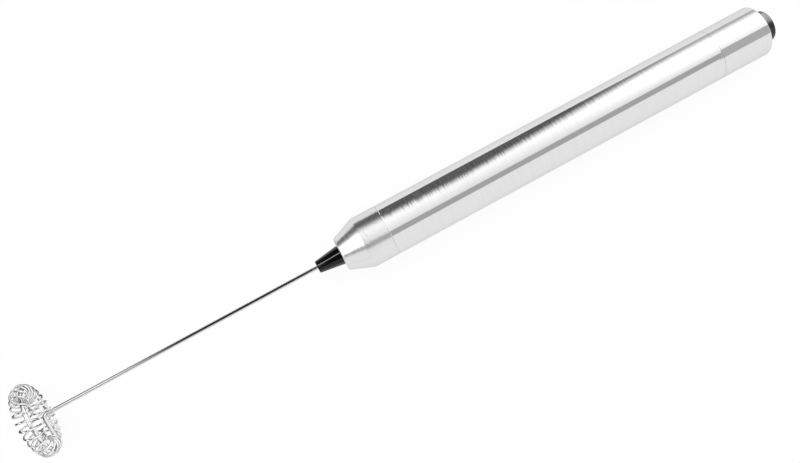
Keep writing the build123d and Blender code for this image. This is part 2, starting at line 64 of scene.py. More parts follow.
# Stations along the handle and the radii of the pieces, read from the solid model
TUBE_LOW, TUBE_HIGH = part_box("body_tube")
NOSE_LOW, NOSE_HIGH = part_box("nose_cone")
CAP_LOW, CAP_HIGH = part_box("tail_cap")
BUTTON_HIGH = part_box("push_button")[1]
CONTACT_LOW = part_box("button_contact")[0]
COUPLING_LOW, COUPLING_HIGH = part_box("shaft_coupling")
MOTOR_SHAFT_LOW, MOTOR_SHAFT_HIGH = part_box("motor_shaft")
HOLDER_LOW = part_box("motor_holder")[0]
COIL_LOW, COIL_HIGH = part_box("whisk_coil")
BATTERY_SPRING_LOW, BATTERY_SPRING_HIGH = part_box("battery_spring")
BUTTON_SPRING_LOW, BUTTON_SPRING_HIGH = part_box("button_spring")
HANDLE_R = TUBE_HIGH.z

# How finely meshes are made: steps of a turn, points of a wire and sides of its section
TURN_STEPS = 192
ROUND_STEPS = 10
DOME_STEPS = 24
BEND_STEP = radians(3)
WIRE_SIDES = 20
COIL_STEPS = 48
COIL_SIDES = 12
BATTERY_SPRING_POINTS = 200
BATTERY_SPRING_SIDES = 14
BUTTON_SPRING_POINTS = 270
BUTTON_SPRING_SIDES = 12
THREAD_STEPS = 72
THREAD_SIDES = 4
SUPPORT = 0.02 * MM
SHARP_ANGLE = radians(30)
TINY = 1e-9

# Small sizes that stay as they are, and the button's way to its stop
FLANGE_PLAY = 0.1 * MM
WIRE_HOLE_ROUND = 0.08 * MM
CELL_NUB_ROUND = 0.3 * MM


def length(name, description, default):
    """A length that a user may change."""
    return FloatProperty(
        name=name, description=description, default=default, unit="LENGTH", subtype="DISTANCE", precision=5
    )


def turn_angle(name, description, default):
    """An angle that a user may change."""
    return FloatProperty(
        name=name, description=description, default=default, unit="ROTATION", subtype="ANGLE"
    )


def share(name, description, default, high=1.0):
    """A plain number from nought upwards."""
    return FloatProperty(name=name, description=description, default=default, min=0.0, max=high)


def colour(name, description, default):
    """A colour that a user may change."""
    return FloatVectorProperty(
        name=name, description=description, default=default, size=3, min=0.0, max=1.0, subtype="COLOR"
    )


class FrotherHandle(PropertyGroup):
    """Sizes of the shells of the handle"""

    front_bevel: length("Front bevel", "Length of the bevel on the tube's front edge", 0.2 * MM)
    front_bevel_drop: length("Front bevel drop", "Height of that bevel", 0.14 * MM)
    front_gap: length("Front gap", "Gap between nose and tube", 0.02 * MM)
    rear_gap: length("Rear gap", "Gap between tube and cap", 0.045 * MM)
    wall: length("Tube wall", "Wall of the handle tube", 0.8 * MM)
    mouth_bevel: length("Mouth bevel", "Bevel at the open rear of the tube", 0.2 * MM)
    thread_pitch: length("Thread pitch", "Step of the cap's screw thread from turn to turn", 1.0 * MM)
    thread_depth: length("Thread depth", "Height of the thread's ridge", 0.24 * MM)
    thread_length: length("Thread length", "Length of the threaded stretch", 4.2 * MM)
    thread_inset: length("Thread inset", "Plain stretch between the seam and the thread", 0.9 * MM)
    thread_play: length("Thread play", "Play between the cap's spigot and the tube", 0.08 * MM)
    seat_play: length("Seat play", "Play between the nose's spigot and the tube", 0.02 * MM)
    nose_straight: length("Nose barrel", "Straight part of the nose in front of the tube", 6.9 * MM)
    nose_tip_r: length("Nose tip radius", "Radius of the nose at its front face", 4.45 * MM)
    nose_tip_round: length("Nose tip round", "Round of the nose's front edge", 0.7 * MM)
    nose_shoulder_round: length("Nose shoulder round", "Round where the nose begins to taper", 0.12 * MM)
    nose_hole_r: length("Nose hole radius", "Radius of the hole that the coupling turns in", 2.95 * MM)
    nose_hole_round: length("Nose hole round", "Round of the hole's edge", 0.15 * MM)
    nose_lip: length("Nose lip", "Length of the hole through the nose's front wall", 1.1 * MM)
    nose_clear_r: length("Nose clearance", "Radius behind the lip", 3.3 * MM)
    nose_bore_r: length("Nose bore", "Radius of the bore that seats the motor holder", 5.55 * MM)
    cap_bore_r: length("Cap bore", "Radius of the bore of the tail cap", 5.5 * MM)
    cap_end_round: length("Cap end round", "Round of the tail cap's end", 0.4 * MM)
    cap_hole_r: length("Cap hole radius", "Radius of the hole for the push button", 4.4 * MM)
    cap_hole_round: length("Cap hole round", "Round of the hole's edge", 0.18 * MM)
    cap_end_wall: length("Cap end wall", "Wall of the tail cap around the button", 1.2 * MM)


class FrotherButton(PropertyGroup):
    """Sizes of the push button"""

    radius: length("Radius", "Radius of the button where it shows", 4.3 * MM)
    crown: length("Crown", "Height of the dome on the button's end", 0.3 * MM)
    edge_round: length("Edge round", "Round of the button's edge", 0.4 * MM)
    flange_r: length("Flange radius", "Radius of the flange that keeps the button in the cap", 4.65 * MM)
    flange: length("Flange", "Thickness of the flange", 1.1 * MM)
    hollow_r: length("Hollow radius", "Radius of the hollow for the spring", 3.4 * MM)
    roof: length("Roof", "Thickness of the button's end", 1.8 * MM)
    stem_r: length("Stem radius", "Radius of the stem inside", 1.2 * MM)
    tip_gap: length("Stem tip", "Length by which the contact sleeve passes the stem", 0.4 * MM)


class FrotherWhisk(PropertyGroup):
    """Sizes of the coupling and the whisk"""

    cone_base_r: length("Cone base radius", "Radius of the coupling at the nose", 2.65 * MM)
    cone_tip_r: length("Cone tip radius", "Radius of the coupling at its tip", 1.65 * MM)
    cone_tip_round: length("Cone tip round", "Round of the tip's edge", 0.3 * MM)
    collar: length("Collar", "Length of the coupling's collar inside the nose", 2.2 * MM)
    hub_r: length("Hub radius", "Radius of the coupling on the motor shaft", 2.3 * MM)
    seat: length("Seat", "Play between a wire and its bore", 0.02 * MM)
    wire_grip: length("Wire grip", "Length of the wire inside the coupling", 7.4 * MM)
    wire_r: length("Wire radius", "Radius of the wire of the shaft and hoop", 0.5 * MM)
    shaft_bend: length("Shaft bend", "Bend from the shaft into the arm", 1.6 * MM)
    hoop_bend: length("Hoop bend", "Bend from the arm into the hoop", 1.0 * MM)
    hoop_end: turn_angle("Hoop end", "Angle at which the hoop ends, counted from the arm", radians(352))
    ring_x: length("Ring station", "Place of the ring along the handle's axis", -148.4 * MM)
    ring_offset: length("Ring offset", "Shift of the ring along its arm", 0.25 * MM)
    ring_tilt: turn_angle("Ring tilt", "Lean of the ring towards the handle", radians(7))
    arm_slant: length("Arm slant", "Step from the ring back to the bend of the shaft", 2.0 * MM)
    arm_dip: turn_angle("Arm dip", "Turn of the arm about the shaft", radians(36))
    coil_ring_r: length("Coil ring radius", "Radius of the ring that the coil follows", 7.6 * MM)
    coil_r: length("Coil radius", "Radius of one turn of the coil", 2.1 * MM)
    coil_wire_r: length("Coil wire radius", "Radius of the coil's wire", 0.22 * MM)
    coil_turns: IntProperty(
        name="Coil turns", description="Turns of the coil round the hoop", default=25, min=3
    )
    coil_start: turn_angle("Coil start", "Angle of the coil's first end, from the arm", radians(4.3))
    coil_end: turn_angle("Coil end", "Angle of the coil's last end", radians(353.9))
    hoop_gap: length("Hoop gap", "Gap between the hoop and the coil", 0.05 * MM)
    hoop_lean: turn_angle("Hoop lean", "Side of the coil that the hoop bears on, from the rim", radians(45))


class FrotherInside(PropertyGroup):
    """Sizes of the springs and cells"""

    battery_wire_r: length("Battery spring wire", "Radius of the battery spring's wire", 0.25 * MM)
    battery_base_r: length("Battery spring base", "Radius of its widest turn", 4.1 * MM)
    battery_tip_r: length("Battery spring tip", "Radius of its narrowest turn", 1.6 * MM)
    battery_turns: share("Battery spring turns", "Turns of the battery spring", 3.5, 20.0)
    button_wire_r: length("Button spring wire", "Radius of the button spring's wire", 0.2 * MM)
    button_r: length("Button spring radius", "Radius of its turns", 2.5 * MM)
    button_turns: share("Button spring turns", "Turns of the button spring", 5.5, 20.0)
    cell_film: length("Cell film", "Thickness of the film on a cell", 0.12 * MM)
    cell_edge: length("Cell edge", "Round of a cell's edge", 0.35 * MM)
    cell_film_lip: length("Film lip", "Reach of the film over a cell's end", 0.7 * MM)
    cell_nub_r: length("Cell nub radius", "Radius of a cell's raised end", 1.9 * MM)
    cell_nub: length("Cell nub", "Height of a cell's raised end", 1.0 * MM)


class FrotherFinish(PropertyGroup):
    """Colours and polish"""

    steel: colour("Handle steel", "Satin metal of the handle", (0.76, 0.76, 0.765))
    steel_polish: share("Tube roughness", "Roughness of the turned metal of the tube", 0.055)
    cap_polish: share("Cap roughness", "Roughness of the turned metal of the cap", 0.11)
    nose_polish: share("Nose roughness", "Roughness of the turned metal of the nose", 0.17)
    black: colour("Black plastic", "Moulding of the button and the coupling", (0.003, 0.003, 0.0034))
    wire: colour("Whisk wire", "Bright drawn wire", (0.9, 0.9, 0.905))
    coil: colour("Coil wire", "Fine bright wire of the whisk's coil", (0.93, 0.93, 0.935))


class FrotherStage(PropertyGroup):
    """Camera and light"""

    camera_place: FloatVectorProperty(
        name="Camera place", description="Where the camera stands", size=3, subtype="XYZ", unit="LENGTH",
        default=(-60.02 * MM, -1.98 * MM, 200.98 * MM),
    )
    camera_roll: turn_angle("Camera roll", "Turn of the picture against the handle", radians(28.42))
    camera_recede: turn_angle("Camera recede", "Lean that takes the tail away from the camera", radians(4))
    camera_lens: FloatProperty(
        name="Lens", description="Focal length in millimetres", default=35.1, min=1.0
    )
    fill: share("Fill", "Even light from all round", 0.75, 10.0)
    key: FloatProperty(
        name="Key light", description="Power of the overhead lamp", default=1.25, unit="POWER"
    )


def corner(x, radius, rounding=0.0):
    """A corner of an outline, and how far it is rounded."""
    return (x, radius, rounding)


def rounded(corners, closed):
    """An outline of (x, radius) points with its corners rounded."""
    outline = []
    for number, (x, radius, rounding) in enumerate(corners):
        here = Vector((x, radius))
        ends_here = not closed and number in (0, len(corners) - 1)
        if ends_here or rounding <= TINY:
            outline.append(here)
            continue
        before = Vector(corners[number - 1][:2]) - here
        after = Vector(corners[(number + 1) % len(corners)][:2]) - here
        before.normalize()
        after.normalize()
        half = before.angle(after) / 2
        setback = rounding / tan(half)
        centre = here + (before + after).normalized() * (rounding / sin(half))
        first = here + before * setback - centre
        last = here + after * setback - centre
        sweep = atan2(first.x * last.y - first.y * last.x, first.dot(last))
        outline.append(here + before * (setback + SUPPORT))
        for step in range(ROUND_STEPS + 1):
            turn = Matrix.Rotation(sweep * step / ROUND_STEPS, 2)
            outline.append(centre + turn @ first)
        outline.append(here + after * (setback + SUPPORT))
    return outline


def new_piece(name, mesh, body, material, replaced=()):
    """An object that rides on a body and stands for the solids it replaces."""
    piece = bpy.data.objects.new(name, mesh)
    bpy.context.scene.collection.objects.link(piece)
    if material is not None:
        mesh.materials.clear()
        mesh.materials.append(material)
    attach(piece, body)
    if replaced:
        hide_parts(*replaced)
    return piece


def smoothed(name, bm):
    """A mesh with outward faces, smooth but for its sharp edges."""
    mesh = bpy.data.meshes.new(name)
    bmesh.ops.recalc_face_normals(bm, faces=bm.faces)
    for face in bm.faces:
        face.smooth = True
    bm.to_mesh(mesh)
    bm.free()
    mesh.set_sharp_from_angle(angle=SHARP_ANGLE)
    return mesh


def turn_angles(steps):
    """The angles of a whole turn in equal steps."""
    return [2 * pi * step / steps for step in range(steps)]


def turned(name, corners, closed=True):
    """A mesh turned about the handle's axis, with a UV map that runs round it and along its outline."""
    outline = rounded(corners, closed)
    bm = bmesh.new()
    uv_map = bm.loops.layers.uv.new("turned")
    along = [0.0]
    for before, here in zip(outline, outline[1:] + outline[:1]):
        along.append(along[-1] + (here - before).length)
    rings = []
    for x, radius in outline:
        if radius <= TINY:
            rings.append([bm.verts.new((x, 0.0, 0.0))])
            continue
        spots = [(x, radius * cos(angle), radius * sin(angle)) for angle in turn_angles(TURN_STEPS)]
        rings.append([bm.verts.new(spot) for spot in spots])
    for number in range(len(rings) if closed else len(rings) - 1):
        low = rings[number]
        high = rings[(number + 1) % len(rings)]
        for step in range(TURN_STEPS):
            following = (step + 1) % TURN_STEPS
            near = [(low, step, number), (low, following, number)]
            far = [(high, following, number + 1), (high, step, number + 1)]
            if len(low) == 1:
                near = [(low, 0, number)]
            if len(high) == 1:
                far = [(high, 0, number + 1)]
            face = bm.faces.new([ring[index] for ring, index, station in near + far])
            for loop, (ring, index, station) in zip(face.loops, near + far):
                around = step + 1 if index == following else step
                loop[uv_map].uv = (around / TURN_STEPS, along[station] / (2 * pi * HANDLE_R))
    return smoothed(name, bm)


def swept(name, points, radius, sides):
    """A round wire along points, closed at both ends, with a UV map that runs round it and along it."""
    bm = bmesh.new()
    uv_map = bm.loops.layers.uv.new("turned")
    headings = []
    for number in range(len(points)):
        before = points[max(number - 1, 0)]
        after = points[min(number + 1, len(points) - 1)]
        headings.append((after - before).normalized())
    side = headings[0].orthogonal().normalized()
    rings = []
    for point, heading in zip(points, headings):
        side = (side - heading * side.dot(heading)).normalized()
        other = heading.cross(side)
        spokes = [side * cos(angle) + other * sin(angle) for angle in turn_angles(sides)]
        rings.append([bm.verts.new(point + spoke * radius) for spoke in spokes])
    reach = [0.0]
    for before, here in zip(points, points[1:]):
        reach.append(reach[-1] + (here - before).length)
    for number, (low, high) in enumerate(zip(rings, rings[1:])):
        for step in range(sides):
            following = (step + 1) % sides
            face = bm.faces.new((low[step], low[following], high[following], high[step]))
            spots = ((step, number), (step + 1, number), (step + 1, number + 1), (step, number + 1))
            for loop, (around, station) in zip(face.loops, spots):
                loop[uv_map].uv = (around / sides, reach[station] / (2 * pi * radius))
    for ring, point in ((rings[0], points[0]), (rings[-1], points[-1])):
        middle = bm.verts.new(point)
        for step in range(sides):
            bm.faces.new((middle, ring[step], ring[(step + 1) % sides]))
    return smoothed(name, bm)


# Nodes


def put(tree, socket, value):
    """Links a value to a socket, or sets it there."""
    if isinstance(value, bpy.types.NodeSocket):
        tree.links.new(value, socket)
    else:
        socket.default_value = value


def set_inputs(tree, node, inputs):
    """Links or sets values at a node's inputs, which are given by label or number."""
    for label, value in dict(inputs).items():
        put(tree, node.inputs[label], value)


def add_node(tree, kind, inputs=(), **settings):
    """A node with its settings, and with values at its inputs."""
    node = tree.nodes.new(kind)
    for name, value in settings.items():
        setattr(node, name, value)
    set_inputs(tree, node, inputs)
    return node


def new_material(name):
    """An empty material, its node tree and its shader."""
    material = bpy.data.materials.new(name)
    material.use_nodes = True
    tree = material.node_tree
    tree.nodes.clear()
    shader = add_node(tree, "ShaderNodeBsdfPrincipled")
    add_node(tree, "ShaderNodeOutputMaterial", {"Surface": shader.outputs["BSDF"]})
    return material, tree, shader


def calc(tree, operation, *values):
    """The result of one Math node."""
    return add_node(tree, "ShaderNodeMath", enumerate(values), operation=operation).outputs["Value"]


def ramp(tree, value, low, high, start, end, course="LINEAR"):
    """A run from start to end as a value goes from low to high, straight unless a course is given."""
    inputs = {"Value": value, "From Min": low, "From Max": high, "To Min": start, "To Max": end}
    return add_node(tree, "ShaderNodeMapRange", inputs, interpolation_type=course).outputs["Result"]


def ease(tree, value, low, high, start=0.0, end=1.0):
    """A smooth step from start to end as a value goes from low to high."""
    return ramp(tree, value, low, high, start, end, "SMOOTHSTEP")


def object_place(tree, scale=(1.0, 1.0, 1.0)):
    """Object coordinates, stretched."""
    place = add_node(tree, "ShaderNodeTexCoord").outputs["Object"]
    return add_node(tree, "ShaderNodeMapping", {"Vector": place, "Scale": scale}).outputs["Vector"]


def noise(tree, place, scale, detail=2.0):
    """Noise from nought to one."""
    inputs = {"Vector": place, "Scale": scale, "Detail": detail}
    return add_node(tree, "ShaderNodeTexNoise", inputs).outputs["Fac"]


# Sockets of a Mix node that blends colours
MIX_AMOUNT = 0
MIX_DARK = 6
MIX_LIGHT = 7
MIX_RESULT = 2


def toned(tree, shader, value, rgb, darkest, lightest):
    """Lets the colour of a surface follow a value from nought to one, between two shares of it."""
    dark, light = ((*(part * tone for part in rgb), 1.0) for tone in (darkest, lightest))
    inputs = {MIX_AMOUNT: value, MIX_DARK: dark, MIX_LIGHT: light}
    tint = add_node(tree, "ShaderNodeMix", inputs, data_type="RGBA").outputs[MIX_RESULT]
    put(tree, shader.inputs["Base Color"], tint)


def glossed(tree, shader, value, start, end):
    """Lets the roughness of a surface follow a value from nought to one."""
    put(tree, shader.inputs["Roughness"], ramp(tree, value, 0.0, 1.0, start, end))


def raised(tree, shader, height, depth):
    """Fine relief on a surface."""
    bump = add_node(tree, "ShaderNodeBump", {"Strength": 1.0, "Distance": depth, "Height": height})
    put(tree, shader.inputs["Normal"], bump.outputs["Normal"])


# Ways in which the gloss of turned metal spreads: along the handle, or round it
ALONG = 0.25
ROUND = 0.0
# Wear of turned metal: the shares of its rings and patches and the scale of these; and the tone of its rim,
# which is painted shade that darkens its gloss at grazing angles
RING_SHARE = 0.6
PATCH_SHARE = 0.4
PATCH_SCALE = 90.0
TURNED_RIM_SHADE = 0.8
# Shares of a finish's roughness between which it changes
SMOOTHEST = 0.8
ROUGHEST = 1.2
TURNED_SMOOTHEST = 0.65
TURNED_ROUGHEST = 1.35
# Windings of the motor: how close the wires are, how high, and their roughness from gap to crest
WINDING_SCALE = 1500.0
WINDING_DEPTH = 0.03 * MM
WINDING_ROUGHNESS = (0.4, 0.25)


def turned_steel(name, rgb, roughness, stretch, spread_way, groove, groove_depth, groove_run):
    """Metal with the fine rings that a lathe leaves, whose gloss spreads along the handle or round it."""
    material, tree, shader = new_material(name)
    grooves = noise(tree, object_place(tree, (1.0, groove_run, groove_run)), 1.0 / groove, detail=0.0)
    patches = noise(tree, object_place(tree), PATCH_SCALE)
    ring_wear = calc(tree, "MULTIPLY", grooves, RING_SHARE)
    patch_wear = calc(tree, "MULTIPLY", patches, PATCH_SHARE)
    toned(tree, shader, grooves, rgb, darkest=0.97, lightest=1.03)
    worn = calc(tree, "ADD", ring_wear, patch_wear)
    glossed(tree, shader, worn, roughness * TURNED_SMOOTHEST, roughness * TURNED_ROUGHEST)
    tangent = add_node(tree, "ShaderNodeTangent", direction_type="UV_MAP", uv_map="turned")
    # The tint of the rim below one is painted shade: it darkens the gloss at grazing angles
    set_inputs(tree, shader, {
        "Tangent": tangent.outputs["Tangent"],
        "Metallic": 1.0,
        "Anisotropic": stretch,
        "Anisotropic Rotation": spread_way,
        "Specular Tint": (TURNED_RIM_SHADE, TURNED_RIM_SHADE, TURNED_RIM_SHADE, 1.0),
    })
    raised(tree, shader, grooves, groove_depth)
    return material


def drawn_metal(name, rgb, roughness, grain, rim=1.0):
    """Plain bright metal with slight changes of tone and gloss, and a rim that may be darker, which is
    painted shade at grazing angles.
    """
    material, tree, shader = new_material(name)
    tone = noise(tree, object_place(tree), grain, detail=3.0)
    toned(tree, shader, tone, rgb, darkest=0.9, lightest=1.06)
    glossed(tree, shader, tone, roughness * SMOOTHEST, roughness * ROUGHEST)
    set_inputs(tree, shader, {"Metallic": 1.0, "Specular Tint": (rim, rim, rim, 1.0)})
    return material


def moulded(name, rgb, roughness, grain, depth):
    """Moulded plastic with a faint skin."""
    material, tree, shader = new_material(name)
    skin = noise(tree, object_place(tree), grain, detail=4.0)
    toned(tree, shader, skin, rgb, darkest=0.92, lightest=1.08)
    glossed(tree, shader, skin, roughness * SMOOTHEST, roughness * ROUGHEST)
    raised(tree, shader, skin, depth)
    return material


def wound_copper(name, rgb):
    """Turns of enamelled wire, side by side, with painted shade in the gaps between them."""
    material, tree, shader = new_material(name)
    inputs = {"Vector": object_place(tree), "Scale": WINDING_SCALE}
    wires = add_node(tree, "ShaderNodeTexWave", inputs, bands_direction="Z").outputs["Fac"]
    # The colour falls to half in the gaps between the turns: painted shade in the creases
    toned(tree, shader, wires, rgb, darkest=0.5, lightest=1.0)
    glossed(tree, shader, wires, *WINDING_ROUGHNESS)
    set_inputs(tree, shader, {"Metallic": 0.8})
    raised(tree, shader, wires, WINDING_DEPTH)
    return material


# Colour, roughness and grain of the metals inside the handle
METALS = {
    "spring_wire": ((0.55, 0.55, 0.56), 0.22, 900.0),
    "brass": ((0.72, 0.55, 0.27), 0.28, 600.0),
    "plated": ((0.6, 0.6, 0.62), 0.3, 500.0),
    "bronze": ((0.52, 0.35, 0.18), 0.45, 3000.0),
}
# Colour, roughness, grain and its depth of what is moulded inside the handle
MOULDINGS = {
    "ferrite": ((0.05, 0.05, 0.055), 0.6, 2500.0, 0.01 * MM),
    "natural_plastic": ((0.78, 0.77, 0.72), 0.42, 1200.0, 0.004 * MM),
    "grey_plastic": ((0.07, 0.07, 0.075), 0.4, 1500.0, 0.004 * MM),
    "sleeve_plastic": ((0.72, 0.72, 0.7), 0.5, 800.0, 0.004 * MM),
    "cell_film": ((0.05, 0.055, 0.065), 0.28, 500.0, 0.003 * MM),
}
COPPER = (0.6, 0.27, 0.12)
FINISHES = {}


def made_finish(name):
    """A new material of that name."""
    if name in METALS:
        return drawn_metal(name, *METALS[name])
    if name in MOULDINGS:
        return moulded(name, *MOULDINGS[name])
    look = bpy.context.scene.frother_finish
    steel, black = tuple(look.steel), tuple(look.black)
    makers = {
        "satin_tube": lambda: turned_steel(
            name, steel, look.steel_polish, stretch=0.6, spread_way=ALONG,
            groove=0.6 * MM, groove_depth=0.0125 * MM, groove_run=0.02,
        ),
        "satin_cap": lambda: turned_steel(
            name, steel, look.cap_polish, stretch=0.6, spread_way=ALONG,
            groove=0.33 * MM, groove_depth=0.014 * MM, groove_run=0.02,
        ),
        "satin_nose": lambda: turned_steel(
            name, steel, look.nose_polish, stretch=0.7, spread_way=ROUND,
            groove=0.4 * MM, groove_depth=0.011 * MM, groove_run=0.5,
        ),
        "black_gloss": lambda: moulded(name, black, roughness=0.08, grain=900.0, depth=0.0),
        "black_satin": lambda: moulded(name, black, roughness=0.3, grain=2500.0, depth=0.004 * MM),
        # The dark rims of the whisk's wires are painted shade: their gloss goes dark at grazing angles
        "whisk_wire": lambda: drawn_metal(name, tuple(look.wire), roughness=0.07, grain=700.0, rim=0.15),
        "coil_wire": lambda: drawn_metal(name, tuple(look.coil), roughness=0.05, grain=700.0, rim=0.1),
        "copper": lambda: wound_copper(name, COPPER),
    }
    return makers[name]()


def finish(name):
    """The material of that name, made once."""
    if name not in FINISHES:
        FINISHES[name] = made_finish(name)
    return FINISHES[name]


# Geometry node trees


def new_tree(name, inputs):
    """A geometry node tree with named inputs, and its input and output nodes."""
    tree = bpy.data.node_groups.new(name, "GeometryNodeTree")
    for label, kind in inputs.items():
        tree.interface.new_socket(label, in_out="INPUT", socket_type="NodeSocket" + kind)
    tree.interface.new_socket("Geometry", in_out="OUTPUT", socket_type="NodeSocketGeometry")
    return tree, tree.nodes.new("NodeGroupInput").outputs, tree.nodes.new("NodeGroupOutput").inputs


def vector_calc(tree, operation, *values):
    """The result of one Vector Math node."""
    labels = (0, "Scale") if operation == "SCALE" else (0, 1)
    node = add_node(tree, "ShaderNodeVectorMath", zip(labels, values), operation=operation)
    return node.outputs["Vector"]


def direction_at(tree, first, second, angle):
    """The direction at an angle from the first of two that are square to each other."""
    return vector_calc(
        tree,
        "ADD",
        vector_calc(tree, "SCALE", first, calc(tree, "COSINE", angle)),
        vector_calc(tree, "SCALE", second, calc(tree, "SINE", angle)),
    )


def place_along(tree, start, direction, distance):
    """The place at a distance from another one."""
    return vector_calc(tree, "ADD", start, vector_calc(tree, "SCALE", direction, distance))


def wire_on_path(tree, given, result, path, outward):
    """Sweeps a wire along positions that depend on the way along it, and ends the tree."""
    line = add_node(tree, "GeometryNodeCurvePrimitiveLine")
    fine = add_node(
        tree, "GeometryNodeResampleCurve", {"Curve": line.outputs["Curve"], "Count": given["Points"]},
        mode="COUNT",
    )
    moved = add_node(
        tree, "GeometryNodeSetPosition", {"Geometry": fine.outputs["Curve"], "Position": path}
    )
    facing = add_node(
        tree, "GeometryNodeSetCurveNormal", {"Curve": moved.outputs["Geometry"], "Normal": outward},
        mode="FREE",
    )
    section = add_node(
        tree, "GeometryNodeCurvePrimitiveCircle",
        {"Resolution": given["Sides"], "Radius": given["Wire radius"]},
    )
    sweep = add_node(tree, "GeometryNodeCurveToMesh", {
        "Curve": facing.outputs["Curve"], "Profile Curve": section.outputs["Curve"], "Fill Caps": True,
    })
    smooth = add_node(tree, "GeometryNodeSetShadeSmooth", {"Geometry": sweep.outputs["Mesh"]})
    real = add_node(tree, "GeometryNodeRealizeInstances", {"Geometry": smooth.outputs["Geometry"]})
    coat = add_node(tree, "GeometryNodeSetMaterial", {
        "Geometry": real.outputs["Geometry"], "Material": given["Material"],
    })
    put(tree, result["Geometry"], coat.outputs["Geometry"])


WIRE_INPUTS = {"Points": "Int", "Sides": "Int", "Wire radius": "Float", "Material": "Material"}


def way_along(tree, turns):
    """The way along a wire, from nought to one, and the angle that its turns have reached there."""
    way = add_node(tree, "GeometryNodeSplineParameter").outputs["Factor"]
    return way, calc(tree, "MULTIPLY", calc(tree, "MULTIPLY", way, turns), 2 * pi)


def from_to(tree, way, start, end):
    """A value that goes from start to end on the way along a wire."""
    return calc(tree, "MULTIPLY_ADD", way, calc(tree, "SUBTRACT", end, start), start)


def ring_coil_tree():
    """A coil wound round a ring."""
    tree, given, result = new_tree("Ring coil", {
        "Centre": "Vector", "Arm": "Vector", "Across": "Vector", "Square": "Vector",
        "Ring radius": "Float", "Coil radius": "Float", "Turns": "Int", "Start": "Float", "End": "Float",
        **WIRE_INPUTS,
    })
    way, turn = way_along(tree, given["Turns"])
    along = from_to(tree, way, given["Start"], given["End"])
    spoke = direction_at(tree, given["Arm"], given["Across"], along)
    on_ring = place_along(tree, given["Centre"], spoke, given["Ring radius"])
    outward = direction_at(tree, spoke, given["Square"], turn)
    path = place_along(tree, on_ring, outward, given["Coil radius"])
    wire_on_path(tree, given, result, path, outward)
    return tree


def spring_tree():
    """A spring along the handle's axis that may narrow from start to end."""
    tree, given, result = new_tree("Spring", {
        "Start": "Float", "End": "Float", "Start radius": "Float", "End radius": "Float",
        "Turns": "Float", **WIRE_INPUTS,
    })
    way, turn = way_along(tree, given["Turns"])
    radius = from_to(tree, way, given["Start radius"], given["End radius"])
    spoke = add_node(tree, "ShaderNodeCombineXYZ", {
        "Y": calc(tree, "COSINE", turn), "Z": calc(tree, "SINE", turn),
    })
    on_axis = add_node(tree, "ShaderNodeCombineXYZ", {
        "X": from_to(tree, way, given["Start"], given["End"]),
    })
    outward = spoke.outputs["Vector"]
    path = place_along(tree, on_axis.outputs["Vector"], outward, radius)
    wire_on_path(tree, given, result, path, outward)
    return tree


def grown(name, tree, values):
    """The plain mesh that a geometry node tree makes from its named values."""
    maker = bpy.data.objects.new(name + "_maker", bpy.data.meshes.new(name + "_maker"))
    bpy.context.scene.collection.objects.link(maker)
    modifier = maker.modifiers.new(tree.name, "NODES")
    modifier.node_group = tree
    for item in tree.interface.items_tree:
        if item.in_out == "INPUT":
            modifier[item.identifier] = values[item.name]
    depsgraph = bpy.context.evaluated_depsgraph_get()
    mesh = bpy.data.meshes.new_from_object(maker.evaluated_get(depsgraph), depsgraph=depsgraph)
    mesh.name = name
    maker.modifiers.remove(modifier)
    bpy.data.objects.remove(maker)
    return mesh


# Operators, one for each piece or group of like pieces


class FROTHER_OT_tube(Operator):
    """Turn the handle tube"""

    bl_idname = "frother.tube"
    bl_label = "Handle tube"

    def execute(self, context):
        size = context.scene.frother_handle
        front = TUBE_LOW.x
        rear = TUBE_HIGH.x
        bore = HANDLE_R - size.wall
        relief = bore + size.thread_depth
        thread_rear = rear - size.thread_inset
        thread_front = thread_rear - size.thread_length
        mesh = turned("handle_tube", [
            corner(front, HANDLE_R - size.front_bevel_drop),
            corner(front + size.front_bevel, HANDLE_R),
            corner(rear, HANDLE_R),
            corner(rear, bore + size.mouth_bevel),
            corner(rear - size.mouth_bevel, bore),
            corner(thread_rear, bore),
            corner(thread_rear - size.thread_depth, relief),
            corner(thread_front, relief),
            corner(thread_front - size.thread_depth, bore),
            corner(front, bore),
        ])
        new_piece("handle_tube", mesh, "handle", finish("satin_tube"), ["body_tube"])
        return {"FINISHED"}


class FROTHER_OT_nose(Operator):
    """Turn the nose with its taper"""

    bl_idname = "frother.nose"
    bl_label = "Nose"

    def execute(self, context):
        size = context.scene.frother_handle
        seam = TUBE_LOW.x
        front = NOSE_LOW.x
        seat = HOLDER_LOW.x
        rear = NOSE_HIGH.x
        spigot = HANDLE_R - size.wall - size.seat_play
        mesh = turned("nose", [
            corner(front, size.nose_hole_r, size.nose_hole_round),
            corner(front + size.nose_lip, size.nose_hole_r),
            corner(front + size.nose_lip, size.nose_clear_r),
            corner(seat, size.nose_clear_r),
            corner(seat, size.nose_bore_r),
            corner(rear, size.nose_bore_r),
            corner(rear, spigot),
            corner(seam - size.front_gap, spigot),
            corner(seam - size.front_gap, HANDLE_R),
            corner(seam - size.nose_straight, HANDLE_R, size.nose_shoulder_round),
            corner(front, size.nose_tip_r, size.nose_tip_round),
        ])
        new_piece("nose", mesh, "handle", finish("satin_nose"), ["nose_cone"])
        return {"FINISHED"}


